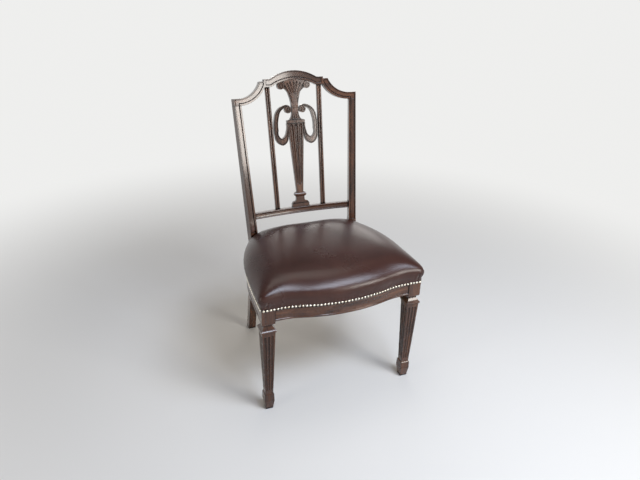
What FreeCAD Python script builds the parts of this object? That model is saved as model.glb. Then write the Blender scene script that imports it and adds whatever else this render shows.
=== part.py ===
"""Lyre back dining chair, millimetres.

X runs to the right of someone facing the chair, +Y to its back, +Z up.
The origin is on the floor, in the middle of the chair's footprint.
"""
import FreeCAD, Part
import math
import os

from FreeCAD import Placement, Rotation, Vector

# Overall placing
front_leg_y = -227.2
front_leg_x = 244.3
rear_leg_outer_x = 197.5

# Front legs, square in plan, sizes are half widths and heights
leg_block_half = 21.0
leg_block_bottom = 330.0
leg_block_round = 9.0
leg_neck_half = 13.5
leg_neck_height = 4.0
collar_half = 23.5
collar_band = 6.0
collar_flare = 15.0
shaft_top_half = 21.0
shaft_foot_half = 13.0
foot_top = 68.0
foot_shoulder_half = 15.4
foot_widest_half = 16.2
foot_widest_height = 34.0
foot_bottom_half = 11.8
flute_spacing = 0.56
flute_top_half = 3.6
flute_foot_half = 2.2
groove_depth_share = 0.6
groove_stop = 0.4
flute_margin_top = 14.0
flute_margin_foot = 12.0

# Seat rails
rail_lift = 12.0
rail_height = 58.0
rail_bottom = leg_block_bottom + rail_lift
rail_top = rail_bottom + rail_height
front_rail_setback = 2.0
front_rail_bow = 27.6
front_rail_convex_half = 138.0
front_rail_flat_from = 205.0
front_rail_inner_y = 25.0
side_rail_setback = 1.0
side_rail_shoulder_x = 258.0
side_rail_shoulder_y = 150.0
side_rail_curve_x = 237.0
side_rail_curve_y = 253.0
side_rail_thick = 25.0
rear_rail_thick = 22.0
bead_height = 7.0
bead_proud = 1.8
nail_bead_height = 4.0
nail_bead_proud = 1.2
leather_lap = 19.0
leather_bottom = rail_top - leather_lap

# Rear legs and stiles
leg_width = 27.5
foot_front_y = 430.9
foot_depth = 27.6
leg_front_y = 342.0
leg_seat_depth = 36.0
leg_knee_drop = 65.0
leg_knee_rise = 30.0
leg_knee_low = rail_top - leg_knee_drop
leg_knee_high = rail_top + leg_knee_rise
leg_knee_radius = 330.0

# The raked, bowed back: x across, n behind the stile faces, h up the rake
back_rake = 12.39
back_face_y = 353.0
back_rise = 80.0
back_zero_z = rail_top + back_rise
back_bow = 25.4
back_chord_half = 202.0
stile_width = 24.5
stile_depth = 21.0
stile_seat_depth = 30.0
stile_turn = 12.0
stile_splay = 0.0393
stile_foot_h = -45.0
stile_foot_width = 26.0
stile_hollow_foot_h = -25.0

# Crest rail outline
crest_depth = 21.0
crest_behind = 2.4
crest_joint_h = 401.3
crest_end_height = 22.5
crest_scoop_rise = 50.1
crest_step_rise = 6.3
crest_arch_rise = 24.5
under_scoop_rise = 53.3
under_arch_rise = 21.5
crest_step_x = 104.0
crest_tab_width = 16.5
crest_end_flat = 19.1
arch_radius = 150.0
arch_fillet = 14.0
under_step_back = 1.0
under_flat_width = 24.0
under_end_flat = 21.3

# Face moulding, shared by the crest and the stiles
mould_outer = 3.2
mould_inner = 6.5
mould_depth = 2.2
mould_groove = 1.6
mould_groove_depth = 3.6
mould_stop_back = 6.0
mould_scoop_out = 1.6

# Lower back rail
lower_rail_h = 19.0
lower_rail_height = 21.5
lower_rail_depth = 20.0
lower_rail_top_bead = 4.5
lower_rail_foot_bead = 5.0

# Thin reeded posts
post_foot_x = 85.0
post_head_out = 0.6
post_width = 16.0
post_depth = 12.0
post_face_n = 29.0

# Pierced splat
splat_face_n = 30.0
splat_depth = 12.0
splat_relief = 2.5
lyre_post_gap = 3.4
lyre_channel_depth = 2.2
lyre_rim = 2.8
base_roll_radius = 8.6
low_volute_radius = 11.5
high_volute_radius = 12.0
volute_sides = 14
volute_sink = 1.6
pilaster_flute_foot = 2.5
pilaster_flute_top = 6.4
stem_reed_foot = 1.2
stem_reed_top = 2.0
plume_vein_foot = 1.4
plume_vein_top = 3.4
plume_crest_drop = 7.4
splat_tenon_half = 24.0
splat_tenon_thick = 8.0
splat_tongue_half = 34.0
splat_tongue_thick = 6.0
splat_tongue_long = 5.0
splat_lap = 10.0

# Joinery
tenon_thick = 10.0
tenon_height = 38.0
tenon_long = 18.0
tenon_short = 13.0
back_tenon = 9.0
crest_tenon_wide = 13.0
crest_tenon_thick = 8.0
crest_tenon_long = 14.0
crest_tenon_behind = 7.0
joint_clearance = 0.15

# Seat
leather_thick = 1.5
seat_corner_radius = 7.0
web_width = 50.0
web_thick = 1.6
web_lap = 14.0
hessian_thick = 1.0
web_inset = 12.0
web_places_x = (-105.0, -35.0, 35.0, 105.0)
web_places_y = (90.0, 160.0, 230.0, 300.0)
seat_bulge_side = 12.5
seat_bulge_front = 6.0
seat_foot_out = 2.0
seat_rise = ((0.0, 0.0), (8.0, 0.6), (20.0, 1.0))
seat_crown = ((37.0, 0.972, 190.0), (54.0, 0.90, 215.0), (70.0, 0.77, 255.0), (82.0, 0.46, 295.0))
seat_runs = (4, 3, 1, 2, 1, 3, 5)
seat_notch_gap = 0.6

# Nails
nail_radius = 4.7
nail_height = 2.9
nail_pitch = 11.0
nail_line_up = 6.0
nail_line_z = leather_bottom + nail_line_up
nail_sides = 6
nail_corner_gap = 6.0

# Corner blocks and their screws
corner_block_drop = 14.0
corner_block_height = 34.0
corner_block_reach = 52.0
corner_block_front_short = 10.0
corner_block_rear_short = 8.0
corner_block_bottom = rail_top - corner_block_drop - corner_block_height
corner_block_middle = corner_block_bottom + corner_block_height / 2
screw_radius = 2.2
screw_head_radius = 4.2
screw_head_height = 2.4
screw_long = 36.0
screw_sides = 6
screw_places = (0.33, 0.67)

back_frame = Placement(
    Vector(0, front_leg_y + back_face_y, back_zero_z),
    Rotation(Vector(1, 0, 0), -back_rake),
)
bow_radius = (back_chord_half ** 2 + back_bow ** 2) / (2 * back_bow)
bow_centre_n = back_bow - bow_radius


def line(start, end):
    return Part.LineSegment(start, end).toShape()


def arc(start, middle, end):
    return Part.Arc(start, middle, end).toShape()


def face_of(edges):
    return Part.Face(Part.Wire(edges))


def polygon(points):
    return Part.Face(Part.makePolygon(points + [points[0]]))


def faceted(rings, twisted=False):
    """Solid with flat sides through rings that have the same number of corners."""
    faces = [polygon(rings[0][::-1]), polygon(rings[-1])]
    for low, high in zip(rings, rings[1:]):
        for step in range(len(low)):
            after = (step + 1) % len(low)
            sides = [[low[step], low[after], high[after], high[step]]]
            if twisted:
                sides = [sides[0][:3], [sides[0][0]] + sides[0][2:]]
            faces += [polygon(side) for side in sides]
    solid = Part.Solid(Part.makeShell(faces))
    return solid if solid.Volume > 0 else solid.reversed()


def round_ring(radius, rise, sides):
    """Corners of a level ring of that many sides."""
    turns = [2 * math.pi * step / sides for step in range(sides)]
    return [Vector(radius * math.cos(turn), radius * math.sin(turn), rise) for turn in turns]


def box(x_range, y_range, z_range):
    size = [high - low for low, high in (x_range, y_range, z_range)]
    corner = Vector(x_range[0], y_range[0], z_range[0])
    return Part.makeBox(size[0], size[1], size[2], corner)


def mirrored(shape):
    return shape.mirror(Vector(0, 0, 0), Vector(1, 0, 0))


def rounded_path(points, radii):
    """Edges along the points, with each inner corner eased by its radius."""
    edges = []
    start = points[0]
    for corner, after, radius in zip(points[1:-1], points[2:], radii):
        inward = (corner - start).normalize()
        outward = (after - corner).normalize()
        if radius == 0:
            edges.append(line(start, corner))
            start = corner
            continue
        turn = inward.getAngle(outward)
        reach = radius * math.tan(turn / 2)
        touch_in = corner - inward * reach
        touch_out = corner + outward * reach
        bisector = (outward - inward).normalize()
        gap = radius / math.cos(turn / 2) - radius
        edges.append(line(start, touch_in))
        edges.append(arc(touch_in, corner + bisector * gap, touch_out))
        start = touch_out
    edges.append(line(start, points[-1]))
    return edges


def bow_n(x, behind=0.0):
    """Depth of the bowed back at x, on the arc that lies this far behind its face."""
    return bow_centre_n + math.sqrt((bow_radius + behind) ** 2 - x ** 2)


def stile_outer(h):
    return rear_leg_outer_x + stile_splay * h


crest_corner_h = crest_joint_h + crest_end_height
crest_tab_h = crest_corner_h + crest_scoop_rise
crest_shoulder_h = crest_tab_h + crest_step_rise
crest_top_h = crest_shoulder_h + crest_arch_rise
crest_under_h = crest_joint_h + under_scoop_rise
crest_under_top_h = crest_under_h + under_arch_rise
crest_tab_x = crest_step_x + crest_tab_width
crest_flat_x = stile_outer(crest_corner_h) - crest_end_flat
under_scoop_x = crest_step_x - under_step_back
under_arch_half = under_scoop_x - under_flat_width
under_flat_x = stile_outer(crest_joint_h) - under_end_flat
mould_stop_x = crest_step_x - mould_stop_back
mould_scoop_x = crest_step_x + mould_scoop_out
post_head_x = under_scoop_x - under_flat_width / 2 + post_head_out


def bow_slab(behind, depth, half_width, low_h, high_h):
    """Slice of the bowed back, from one depth behind its face to the next."""
    front = [Vector(x, bow_n(x, behind), low_h) for x in (-half_width, 0, half_width)]
    rear = [Vector(x, bow_n(x, depth), low_h) for x in (half_width, 0, -half_width)]
    edges = [arc(*front), line(front[2], rear[0]), arc(*rear), line(rear[2], front[0])]
    return face_of(edges).extrude(Vector(0, 0, high_h - low_h))


def through_back(face):
    """Solid that a face in the X, h plane sweeps through the whole back."""
    moved = face.copy()
    moved.translate(Vector(0, -60, 0))
    return moved.extrude(Vector(0, 160, 0))


def in_world(shape):
    placed = shape.copy()
    placed.Placement = back_frame.multiply(shape.Placement)
    return placed


# Front legs
def square_turned(half_profile):
    """Square post whose four faces all follow one half profile of edges."""
    left = [mirrored(edge) for edge in half_profile]
    first = half_profile[0].valueAt(half_profile[0].FirstParameter)
    last = half_profile[-1].valueAt(half_profile[-1].LastParameter)
    closing = [line(Vector(-last.x, 0, last.z), last), line(Vector(-first.x, 0, first.z), first)]
    face = Part.Face(Part.Wire(Part.__sortEdges__(half_profile + left + closing)))
    reach = leg_block_half + collar_half
    face.translate(Vector(0, -reach, 0))
    across = face.extrude(Vector(0, 2 * reach, 0))
    along = across.copy()
    along.rotate(Vector(0, 0, 0), Vector(0, 0, 1), 90)
    return across.common(along)


collar_top = leg_block_bottom - leg_neck_height
collar_bottom = collar_top - collar_flare - collar_band
shaft_top = collar_bottom - 1.5


def front_leg_profile():
    spade_neck = foot_top - 8.0
    block_start = leg_block_bottom + leg_block_round
    edges = [
        line(Vector(foot_bottom_half, 0, 0), Vector(foot_widest_half, 0, foot_widest_height)),
        line(Vector(foot_widest_half, 0, foot_widest_height), Vector(foot_shoulder_half, 0, spade_neck)),
        arc(
            Vector(foot_shoulder_half, 0, spade_neck),
            Vector((foot_shoulder_half + shaft_foot_half) / 2 - 0.5, 0, foot_top - 5.5),
            Vector(shaft_foot_half, 0, foot_top),
        ),
        line(Vector(shaft_foot_half, 0, foot_top), Vector(shaft_top_half, 0, shaft_top)),
        line(Vector(shaft_top_half, 0, shaft_top), Vector(collar_half, 0, collar_bottom)),
        line(Vector(collar_half, 0, collar_bottom), Vector(collar_half, 0, collar_bottom + collar_band)),
        arc(
            Vector(collar_half, 0, collar_bottom + collar_band),
            Vector(leg_neck_half + 3.2, 0, collar_top - 6.4),
            Vector(leg_neck_half, 0, collar_top),
        ),
        line(Vector(leg_neck_half, 0, collar_top), Vector(leg_neck_half, 0, leg_block_bottom)),
        arc(
            Vector(leg_neck_half, 0, leg_block_bottom),
            Vector(leg_block_half - 2.0, 0, leg_block_bottom + 2.8),
            Vector(leg_block_half, 0, block_start),
        ),
        line(Vector(leg_block_half, 0, block_start), Vector(leg_block_half, 0, rail_top)),
    ]
    return edges


def shaft_half(z):
    share = (z - foot_top) / (shaft_top - foot_top)
    return shaft_foot_half + share * (shaft_top_half - shaft_foot_half)


def groove(start, end, start_half, end_half, into):
    """Cutter of a tapered groove between two points on a face, stopped at both ends."""
    along = (end - start).normalize()
    across = along.cross(into)
    stations = [
        (start - along * start_half, start_half * groove_stop),
        (start, start_half),
        (end, end_half),
        (end + along * end_half, end_half * groove_stop),
    ]
    rings = []
    for centre, half in stations:
        deep = half * groove_depth_share
        section = ((-half * 1.5, -deep), (-half * 0.5, deep), (half * 0.5, deep), (half * 1.5, -deep))
        rings.append([centre + across * a + into * b for a, b in section])
    return faceted(rings)


def leg_flutes():
    low = foot_top + flute_margin_foot
    high = shaft_top - flute_margin_top
    cutters = []
    for row in (-1, 0, 1):
        ends = [Vector(row * flute_spacing * shaft_half(z), -shaft_half(z), z) for z in (low, high)]
        lean = (ends[1] - ends[0]).normalize()
        into = Vector(0, lean.z, -lean.y).normalize()
        cutter = groove(ends[0], ends[1], flute_foot_half, flute_top_half, into)
        for quarter in range(4):
            turned = cutter.copy()
            turned.rotate(Vector(0, 0, 0), Vector(0, 0, 1), 90 * quarter)
            cutters.append(turned)
    return cutters


# Seat frame, its outline seen from above
block_front_y = front_leg_y - leg_block_half
rail_front_y = block_front_y + front_rail_setback
block_inner_x = front_leg_x - leg_block_half
block_outer_x = front_leg_x + leg_block_half
block_rear_y = front_leg_y + leg_block_half
rear_leg_front_y = front_leg_y + leg_front_y
rear_leg_inner_x = rear_leg_outer_x - leg_width
rear_leg_back_y = rear_leg_front_y + leg_seat_depth
rear_rail_back_y = rear_leg_back_y - 3.0
side_rail_end_x = rear_leg_outer_x - side_rail_setback


def serpentine(flat_y, out):
    """Edges of the serpentine front from left to right, moved outward."""
    concave_half = front_rail_flat_from - front_rail_convex_half
    concave_rise = front_rail_bow * concave_half / front_rail_flat_from
    concave_radius = (concave_half ** 2 + concave_rise ** 2) / (2 * concave_rise)
    turn = math.asin(concave_half / concave_radius)
    flat = Vector(front_rail_flat_from, flat_y - out, 0)
    centre = Vector(front_rail_flat_from, flat_y - concave_radius, 0)
    half_turn = Vector(-math.sin(turn / 2), math.cos(turn / 2), 0)
    full_turn = Vector(-math.sin(turn), math.cos(turn), 0)
    radius = concave_radius - out
    middle = centre + half_turn * radius
    knee = centre + full_turn * radius
    tip = Vector(0, flat_y - front_rail_bow - out, 0)
    knee_left = Vector(-knee.x, knee.y, 0)
    edges = [
        arc(Vector(-flat.x, flat.y, 0), Vector(-middle.x, middle.y, 0), knee_left),
        arc(knee_left, tip, knee),
        arc(knee, middle, flat),
    ]
    return edges, flat


def side_points(out):
    """Five points of the right side's two arcs, moved outward."""
    front = Vector(block_outer_x - side_rail_setback, block_rear_y, 0)
    shoulder = Vector(side_rail_shoulder_x, front_leg_y + side_rail_shoulder_y, 0)
    between = (front + shoulder) * 0.5 + Vector(0.9, 0, 0)
    curve = Vector(side_rail_curve_x, front_leg_y + side_rail_curve_y, 0)
    rear = Vector(side_rail_end_x, rear_leg_front_y, 0)
    moved = []
    for start, middle, end in ((front, between, shoulder), (shoulder, curve, rear)):
        centre = arc(start, middle, end).Curve.Center
        moved.append([point + (point - centre).normalize() * out for point in (start, middle, end)])
    return moved[0][:2] + moved[1]


def seat_edges(front_out, side_out, rear_y):
    """Front and right-hand edges round legs and rails, moved outward."""
    edges, flat = serpentine(block_front_y, front_out)
    side = side_points(side_out)
    corner_x = block_outer_x + side_out
    radius = seat_corner_radius + max(side_out, 0)
    turn_in = Vector(corner_x - radius, flat.y, 0)
    turn_mid = Vector(corner_x - radius * 0.293, flat.y + radius * 0.293, 0)
    turn_out = Vector(corner_x, flat.y + radius, 0)
    rear_out = Vector(side[4].x - 4.0, rear_y, 0)
    front_end = line(flat, turn_in)
    corner = arc(turn_in, turn_mid, turn_out)
    flank = [line(turn_out, side[0]), arc(side[0], side[1], side[2]), arc(side[2], side[3], side[4])]
    return edges, front_end, corner, flank, rear_out


def seat_outline(front_out, side_out, rear_y):
    """Closed level outline over legs and rails."""
    edges, front_end, corner, flank, rear_out = seat_edges(front_out, side_out, rear_y)
    last = flank[-1].valueAt(flank[-1].LastParameter)
    right = [front_end, corner] + flank + [line(last, rear_out)]
    left = [mirrored(edge) for edge in right]
    rear = [line(rear_out, Vector(-rear_out.x, rear_y, 0))]
    return Part.Wire(Part.__sortEdges__(edges + right + rear + left))


def outline_prism(front_out, side_out, rear_y, low_z, high_z):
    wire = seat_outline(front_out, side_out, rear_y)
    wire.translate(Vector(0, 0, low_z))
    return Part.Face(wire).extrude(Vector(0, 0, high_z - low_z))


def moulded_rail(plan):
    """Rail with a bead at its foot and one under the nails, from plans moved outward."""
    nail_bead_top = leather_bottom
    nail_bead_low = leather_bottom - nail_bead_height
    levels = [
        (rail_bottom, bead_proud * 0.4),
        (rail_bottom + bead_height * 0.25, bead_proud),
        (rail_bottom + bead_height * 0.75, bead_proud),
        (rail_bottom + bead_height, 0.0),
        (nail_bead_low, 0.0),
        (nail_bead_low + 1.0, nail_bead_proud),
        (nail_bead_top - 1.0, nail_bead_proud),
        (nail_bead_top, 0.0),
        (rail_top, 0.0),
    ]
    wires = []
    for z, out in levels:
        wire = plan(out)
        wire.translate(Vector(0, 0, z))
        wires.append(wire)
    return Part.makeLoft(wires, True, True)


def front_rail_plan(out):
    edges, flat = serpentine(rail_front_y, out)
    inner_y = block_front_y + front_rail_inner_y
    right = Vector(block_inner_x, flat.y, 0)
    left = Vector(-block_inner_x, flat.y, 0)
    inner_right = Vector(block_inner_x, inner_y, 0)
    inner_left = Vector(-block_inner_x, inner_y, 0)
    run = [line(left, Vector(-flat.x, flat.y, 0))] + edges + [line(flat, right)]
    closing = [line(right, inner_right), line(inner_right, inner_left), line(inner_left, left)]
    return Part.Wire(run + closing)


def side_rail_plan(out):
    front, between, shoulder, curve, rear = side_points(0)
    inner_front = Vector(front.x - side_rail_thick, front.y, 0)
    inner_rear = Vector(rear.x - side_rail_thick, rear.y, 0)
    inner_mid = Vector((shoulder.x + curve.x) / 2 - side_rail_thick - 4.0, (shoulder.y + curve.y) / 2, 0)
    moved = side_points(out)
    start = Vector(moved[0].x, front.y, 0)
    end = Vector(moved[4].x, rear.y, 0)
    return Part.Wire([
        arc(start, moved[1], moved[2]),
        arc(moved[2], moved[3], end),
        line(end, inner_rear),
        arc(inner_rear, inner_mid, inner_front),
        line(inner_front, start),
    ])


def front_rail_tenon(side, gap):
    x_range = sorted((side * (block_inner_x - 1), side * (block_inner_x + tenon_long + gap)))
    low_y = rail_front_y + 7.0
    z_low = rail_bottom + 8.0
    return box(
        x_range,
        (low_y - gap, low_y + tenon_thick + gap),
        (z_low - gap, z_low + tenon_height + gap),
    )


def side_rail_tenons(gap):
    """Tenons of the right side rail: one into each leg."""
    z_range = (rail_bottom + 8.0 - gap, rail_bottom + 8.0 + tenon_height + gap)
    front_x = front_leg_x + 3.0
    rear_x = rear_leg_outer_x - tenon_thick - 8.0
    front = box(
        (front_x - gap, front_x + tenon_thick + gap),
        (block_rear_y - tenon_long - gap, block_rear_y + 1),
        z_range,
    )
    rear = box(
        (rear_x - gap, rear_x + tenon_thick + gap),
        (rear_leg_front_y - 1, rear_leg_front_y + tenon_short + gap),
        z_range,
    )
    return front, rear


def rear_rail_tenon(side, gap):
    x_range = sorted((side * (rear_leg_inner_x - 1), side * (rear_leg_inner_x + tenon_short + gap)))
    back_y = rear_rail_back_y - 4.0
    z_low = rail_bottom + 8.0
    return box(
        x_range,
        (back_y - tenon_thick - gap, back_y + gap),
        (z_low - gap, z_low + tenon_height + gap),
    )


def front_leg():
    """Right front leg."""
    leg = square_turned(front_leg_profile())
    leg = leg.cut(leg_flutes())
    leg.translate(Vector(front_leg_x, front_leg_y, 0))
    pockets = [front_rail_tenon(1, joint_clearance), side_rail_tenons(joint_clearance)[0]]
    return leg.cut(pockets)


def front_rail():
    tenons = [front_rail_tenon(side, 0) for side in (-1, 1)]
    return moulded_rail(front_rail_plan).fuse(tenons)


def side_rail():
    """Right side rail."""
    return moulded_rail(side_rail_plan).fuse(list(side_rail_tenons(0)))


def rear_rail():
    body = box(
        (-rear_leg_inner_x, rear_leg_inner_x),
        (rear_rail_back_y - rear_rail_thick, rear_rail_back_y),
        (rail_bottom, rail_top),
    )
    tenons = [rear_rail_tenon(side, 0) for side in (-1, 1)]
    return body.fuse(tenons).removeSplitter()


# Rear legs
stile_turn_rad = math.radians(stile_turn)
stile_inward = Vector(-math.cos(stile_turn_rad), math.sin(stile_turn_rad), 0)
stile_behind = Vector(math.sin(stile_turn_rad), math.cos(stile_turn_rad), 0)
knee_reach = leg_knee_radius * math.tan(math.radians(back_rake) / 2)
knee_start_z = leg_knee_high - knee_reach
knee_end_h = (leg_knee_high - back_zero_z) / math.cos(math.radians(back_rake)) + knee_reach


def stile_size(h):
    """Width and depth of the stile at h."""
    share = (h - stile_foot_h) / (crest_joint_h - stile_foot_h)
    wide = stile_foot_width + share * (stile_width - stile_foot_width)
    deep = stile_seat_depth + share * (stile_depth - stile_seat_depth)
    return wide, deep


def stile_point(h, inward, behind):
    """Point at h, this far in from the outer arris and behind the turned face."""
    corner = Vector(stile_outer(h), 0, h)
    return corner + stile_inward * inward + stile_behind * behind


def stile_section(h, inward, behind):
    """Rectangle at h between two distances inward and two behind the face."""
    corners = [
        stile_point(h, inward[0], behind[0]),
        stile_point(h, inward[1], behind[0]),
        stile_point(h, inward[1], behind[1]),
        stile_point(h, inward[0], behind[1]),
    ]
    return Part.makePolygon(corners + [corners[0]])


def knee_section(angle):
    """Section of the bend above the seat, where the leg turns from upright to raked."""
    share = angle / back_rake
    lean = math.radians(angle)
    wide_end, deep_end = stile_size(knee_end_h)
    wide = leg_width + share * (wide_end - leg_width)
    deep = leg_seat_depth + share * (deep_end - leg_seat_depth)
    turn = stile_turn_rad * share
    outer = rear_leg_outer_x + share * stile_splay * knee_end_h
    rise = leg_knee_radius * math.sin(lean)
    front = rear_leg_front_y + leg_knee_radius * (1 - math.cos(lean))
    corner = Vector(outer, front, knee_start_z + rise)
    behind = Vector(math.sin(turn), math.cos(turn) * math.cos(lean), -math.cos(turn) * math.sin(lean))
    inward = Vector(-math.cos(turn), math.sin(turn) * math.cos(lean), -math.sin(turn) * math.sin(lean))
    corners = [corner, corner + inward * wide, corner + inward * wide + behind * deep, corner + behind * deep]
    return Part.makePolygon(corners + [corner])


def stile_moulding():
    """Cutters of the hollow and the quirk down the face of the right stile."""
    sections = ([], [])
    for h in (stile_hollow_foot_h, crest_joint_h + 1.0):
        wide, deep = stile_size(h)
        hollow_end = wide - mould_inner
        sections[0].append(stile_section(h, (mould_outer, hollow_end), (-2.0, mould_depth)))
        quirk = (hollow_end - mould_groove, hollow_end)
        sections[1].append(stile_section(h, quirk, (-2.0, mould_groove_depth)))
    return [in_world(Part.makeLoft(pair, True, True)) for pair in sections]


def stile_tenon(gap):
    """Tenon on the top of the right stile."""
    middle = (stile_width - crest_tenon_wide) / 2
    inward = (middle - gap, middle + crest_tenon_wide + gap)
    behind = (crest_tenon_behind - gap, crest_tenon_behind + crest_tenon_thick + gap)
    reach = (crest_joint_h - 1.0, crest_joint_h + crest_tenon_long + gap)
    ends = [stile_section(h, inward, behind) for h in reach]
    return Part.makeLoft(ends, True, True)


def rear_leg():
    """Right rear leg, one piece from the floor to the crest."""
    front_low = Vector(rear_leg_outer_x, front_leg_y + foot_front_y, 0)
    front_knee = Vector(rear_leg_outer_x, rear_leg_front_y, leg_knee_low)
    front_high = Vector(rear_leg_outer_x, rear_leg_front_y, knee_start_z)
    rear_low = Vector(rear_leg_outer_x, front_low.y + foot_depth, 0)
    rear_knee = Vector(rear_leg_outer_x, rear_leg_back_y, leg_knee_low)
    rear_high = Vector(rear_leg_outer_x, rear_leg_back_y, knee_start_z)
    front = rounded_path([front_low, front_knee, front_high], [leg_knee_radius])
    rear = rounded_path([rear_low, rear_knee, rear_high], [leg_knee_radius])
    ends = [line(front_high, rear_high), line(front_low, rear_low)]
    side = Part.Face(Part.Wire(Part.__sortEdges__(front + rear + ends)))
    lower = side.extrude(Vector(-leg_width, 0, 0))
    bend = [knee_section(back_rake * step / 4) for step in range(5)]
    wide, deep = stile_size(crest_joint_h)
    top = in_world(stile_section(crest_joint_h, (0, wide), (0, deep)))
    upper = Part.makeLoft(bend + [top], True, True)
    leg = lower.fuse([upper, in_world(stile_tenon(0))])
    leg = leg.cut(stile_moulding())
    pockets = [side_rail_tenons(joint_clearance)[1], rear_rail_tenon(1, joint_clearance)]
    pockets.append(in_world(lower_rail_tenon(joint_clearance)))
    return leg.cut(pockets)


# Back rails
def ring_section(section):
    """Solid swept by a section of r, h points about the axis of the bow."""
    points = [Vector(0, bow_centre_n + r, h) for r, h in section]
    face = polygon(points)
    axis = Vector(0, bow_centre_n, 0)
    swing = 1.15 * math.degrees(math.asin(back_chord_half / bow_radius))
    face.rotate(axis, Vector(0, 0, 1), -swing)
    return face.revolve(axis, Vector(0, 0, 1), 2 * swing)


def lower_rail_section():
    near = bow_radius
    far = near + lower_rail_depth
    foot = lower_rail_h
    top = foot + lower_rail_height
    bead_top = top - lower_rail_top_bead
    bead_foot = foot + lower_rail_foot_bead
    sink = near + 3.0
    return [
        (near + 1.2, foot),
        (near, foot + 1.2),
        (near, bead_foot - 1.2),
        (near + 1.2, bead_foot),
        (sink, bead_foot),
        (sink + 0.8, (bead_foot + bead_top) / 2),
        (sink, bead_top),
        (near + 1.2, bead_top),
        (near, bead_top + 1.2),
        (near, top - 1.2),
        (near + 1.2, top),
        (far, top),
        (far, foot),
    ]


def lower_rail_tenon(gap):
    """Tenon of the lower back rail into the right stile."""
    low = lower_rail_h + 4.0 - gap
    high = lower_rail_h + lower_rail_height - 4.0 + gap
    ends = []
    for h in (low, high):
        wide, deep = stile_size(h)
        ends.append(stile_section(h, (wide - back_tenon - gap, wide + 2.0), (7.0 - gap, 15.0 + gap)))
    return Part.makeLoft(ends, True, True)


def between_stiles(inset):
    """Envelope between the outer sides of the stiles, this far inside them."""
    wires = []
    for h in (-10.0, crest_top_h + 10.0):
        right = [stile_point(h, inset, -30.0), stile_point(h, inset, 90.0)]
        left = [Vector(-point.x, point.y, point.z) for point in reversed(right)]
        wires.append(Part.makePolygon(right + left + [right[0]]))
    return Part.makeLoft(wires, True, True)


def post_tenon(side, gap, at_head):
    x = post_head_x if at_head else post_foot_x
    joint = crest_under_h if at_head else lower_rail_h + lower_rail_height
    reach = (joint - 1, joint + back_tenon + gap) if at_head else (joint - back_tenon - gap, joint + 1)
    near = post_face_n + post_depth / 2 - 2.5
    half = post_width / 2 - 3.0 + gap
    return box((side * x - half, side * x + half), (near - gap, near + 5.0 + gap), reach)


def splat_tenon(gap):
    """Tenon of the splat into the lower back rail."""
    joint = lower_rail_h + lower_rail_height
    near = splat_face_n + (splat_depth - splat_tenon_thick) / 2
    half = splat_tenon_half + gap
    reach = (joint - back_tenon - gap, joint + 1)
    return box((-half, half), (near - gap, near + splat_tenon_thick + gap), reach)


def splat_tongue(gap):
    """Tongue of the splat into the underside of the crest."""
    near = splat_face_n + (splat_depth - splat_tongue_thick) / 2
    half = splat_tongue_half + gap
    reach = (crest_under_top_h - splat_lap, crest_under_top_h + splat_tongue_long + gap)
    return box((-half, half), (near - gap, near + splat_tongue_thick + gap), reach)


def lower_back_rail():
    rail = ring_section(lower_rail_section())
    wide, deep = stile_size(lower_rail_h)
    envelope = between_stiles(wide / 2)
    rail = rail.common(envelope)
    rail = rail.cut([stile_end_block(1), stile_end_block(-1)])
    tenon = lower_rail_tenon(0)
    rail = rail.fuse([tenon, mirrored(tenon)])
    pockets = [post_tenon(side, joint_clearance, False) for side in (-1, 1)]
    return rail.cut(pockets + [splat_tenon(joint_clearance)])


def stile_end_block(side):
    """Room that the stile takes beside the lower back rail."""
    wires = []
    for h in (0.0, lower_rail_h + lower_rail_height + 20.0):
        wide, deep = stile_size(h)
        wires.append(stile_section(h, (-20.0, wide), (-30.0, 60.0)))
    block = Part.makeLoft(wires, True, True)
    return block if side == 1 else mirrored(block)


# Crest rail
def hollow_arc(flat_x, flat_h, end_x, end_h):
    """Centre and radius of the arc that is level at one point and passes another."""
    across = flat_x - end_x
    rise = end_h - flat_h
    radius = (across ** 2 + rise ** 2) / (2 * rise)
    return Vector(flat_x, 0, flat_h + radius), radius


def on_circle(centre, radius, x, above):
    drop = math.sqrt(radius ** 2 - (x - centre.x) ** 2)
    return Vector(x, 0, centre.z + drop if above else centre.z - drop)


def at_height(centre, radius, h, right):
    reach = math.sqrt(radius ** 2 - (h - centre.z) ** 2)
    return Vector(centre.x + reach if right else centre.x - reach, 0, h)


def arc_about(centre, radius, start, end):
    middle = (start + end) * 0.5 - centre
    return arc(start, centre + middle.normalize() * radius, end)


scoop_centre, scoop_radius = hollow_arc(crest_flat_x, crest_corner_h, crest_tab_x, crest_tab_h)
under_scoop_centre, under_scoop_radius = hollow_arc(under_flat_x, crest_joint_h, under_scoop_x, crest_under_h)
under_arch_radius = (under_arch_half ** 2 + under_arch_rise ** 2) / (2 * under_arch_rise)
under_arch_centre = Vector(0, 0, crest_under_top_h - under_arch_radius)
arch_centre = Vector(0, 0, crest_top_h - arch_radius)


def arch_edges(inset, end_x):
    """Top of the arch from its crown down to the shoulder, moved inward."""
    fillet_h = crest_shoulder_h + arch_fillet
    reach = math.sqrt((arch_radius + arch_fillet) ** 2 - (fillet_h - arch_centre.z) ** 2)
    fillet_centre = Vector(reach, 0, fillet_h)
    toward = (fillet_centre - arch_centre).normalize()
    crown = Vector(0, 0, crest_top_h - inset)
    touch = arch_centre + toward * (arch_radius - inset)
    foot = Vector(reach, 0, crest_shoulder_h - inset)
    return [
        arc_about(arch_centre, arch_radius - inset, crown, touch),
        arc_about(fillet_centre, arch_fillet + inset, touch, foot),
        line(foot, Vector(end_x, 0, foot.z)),
    ]


def closed_mirror(edges):
    """Face bounded by right-hand edges that start and end on the middle line, and their mirror."""
    left = [mirrored(edge) for edge in edges]
    return Part.Face(Part.Wire(Part.__sortEdges__(edges + left)))


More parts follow.
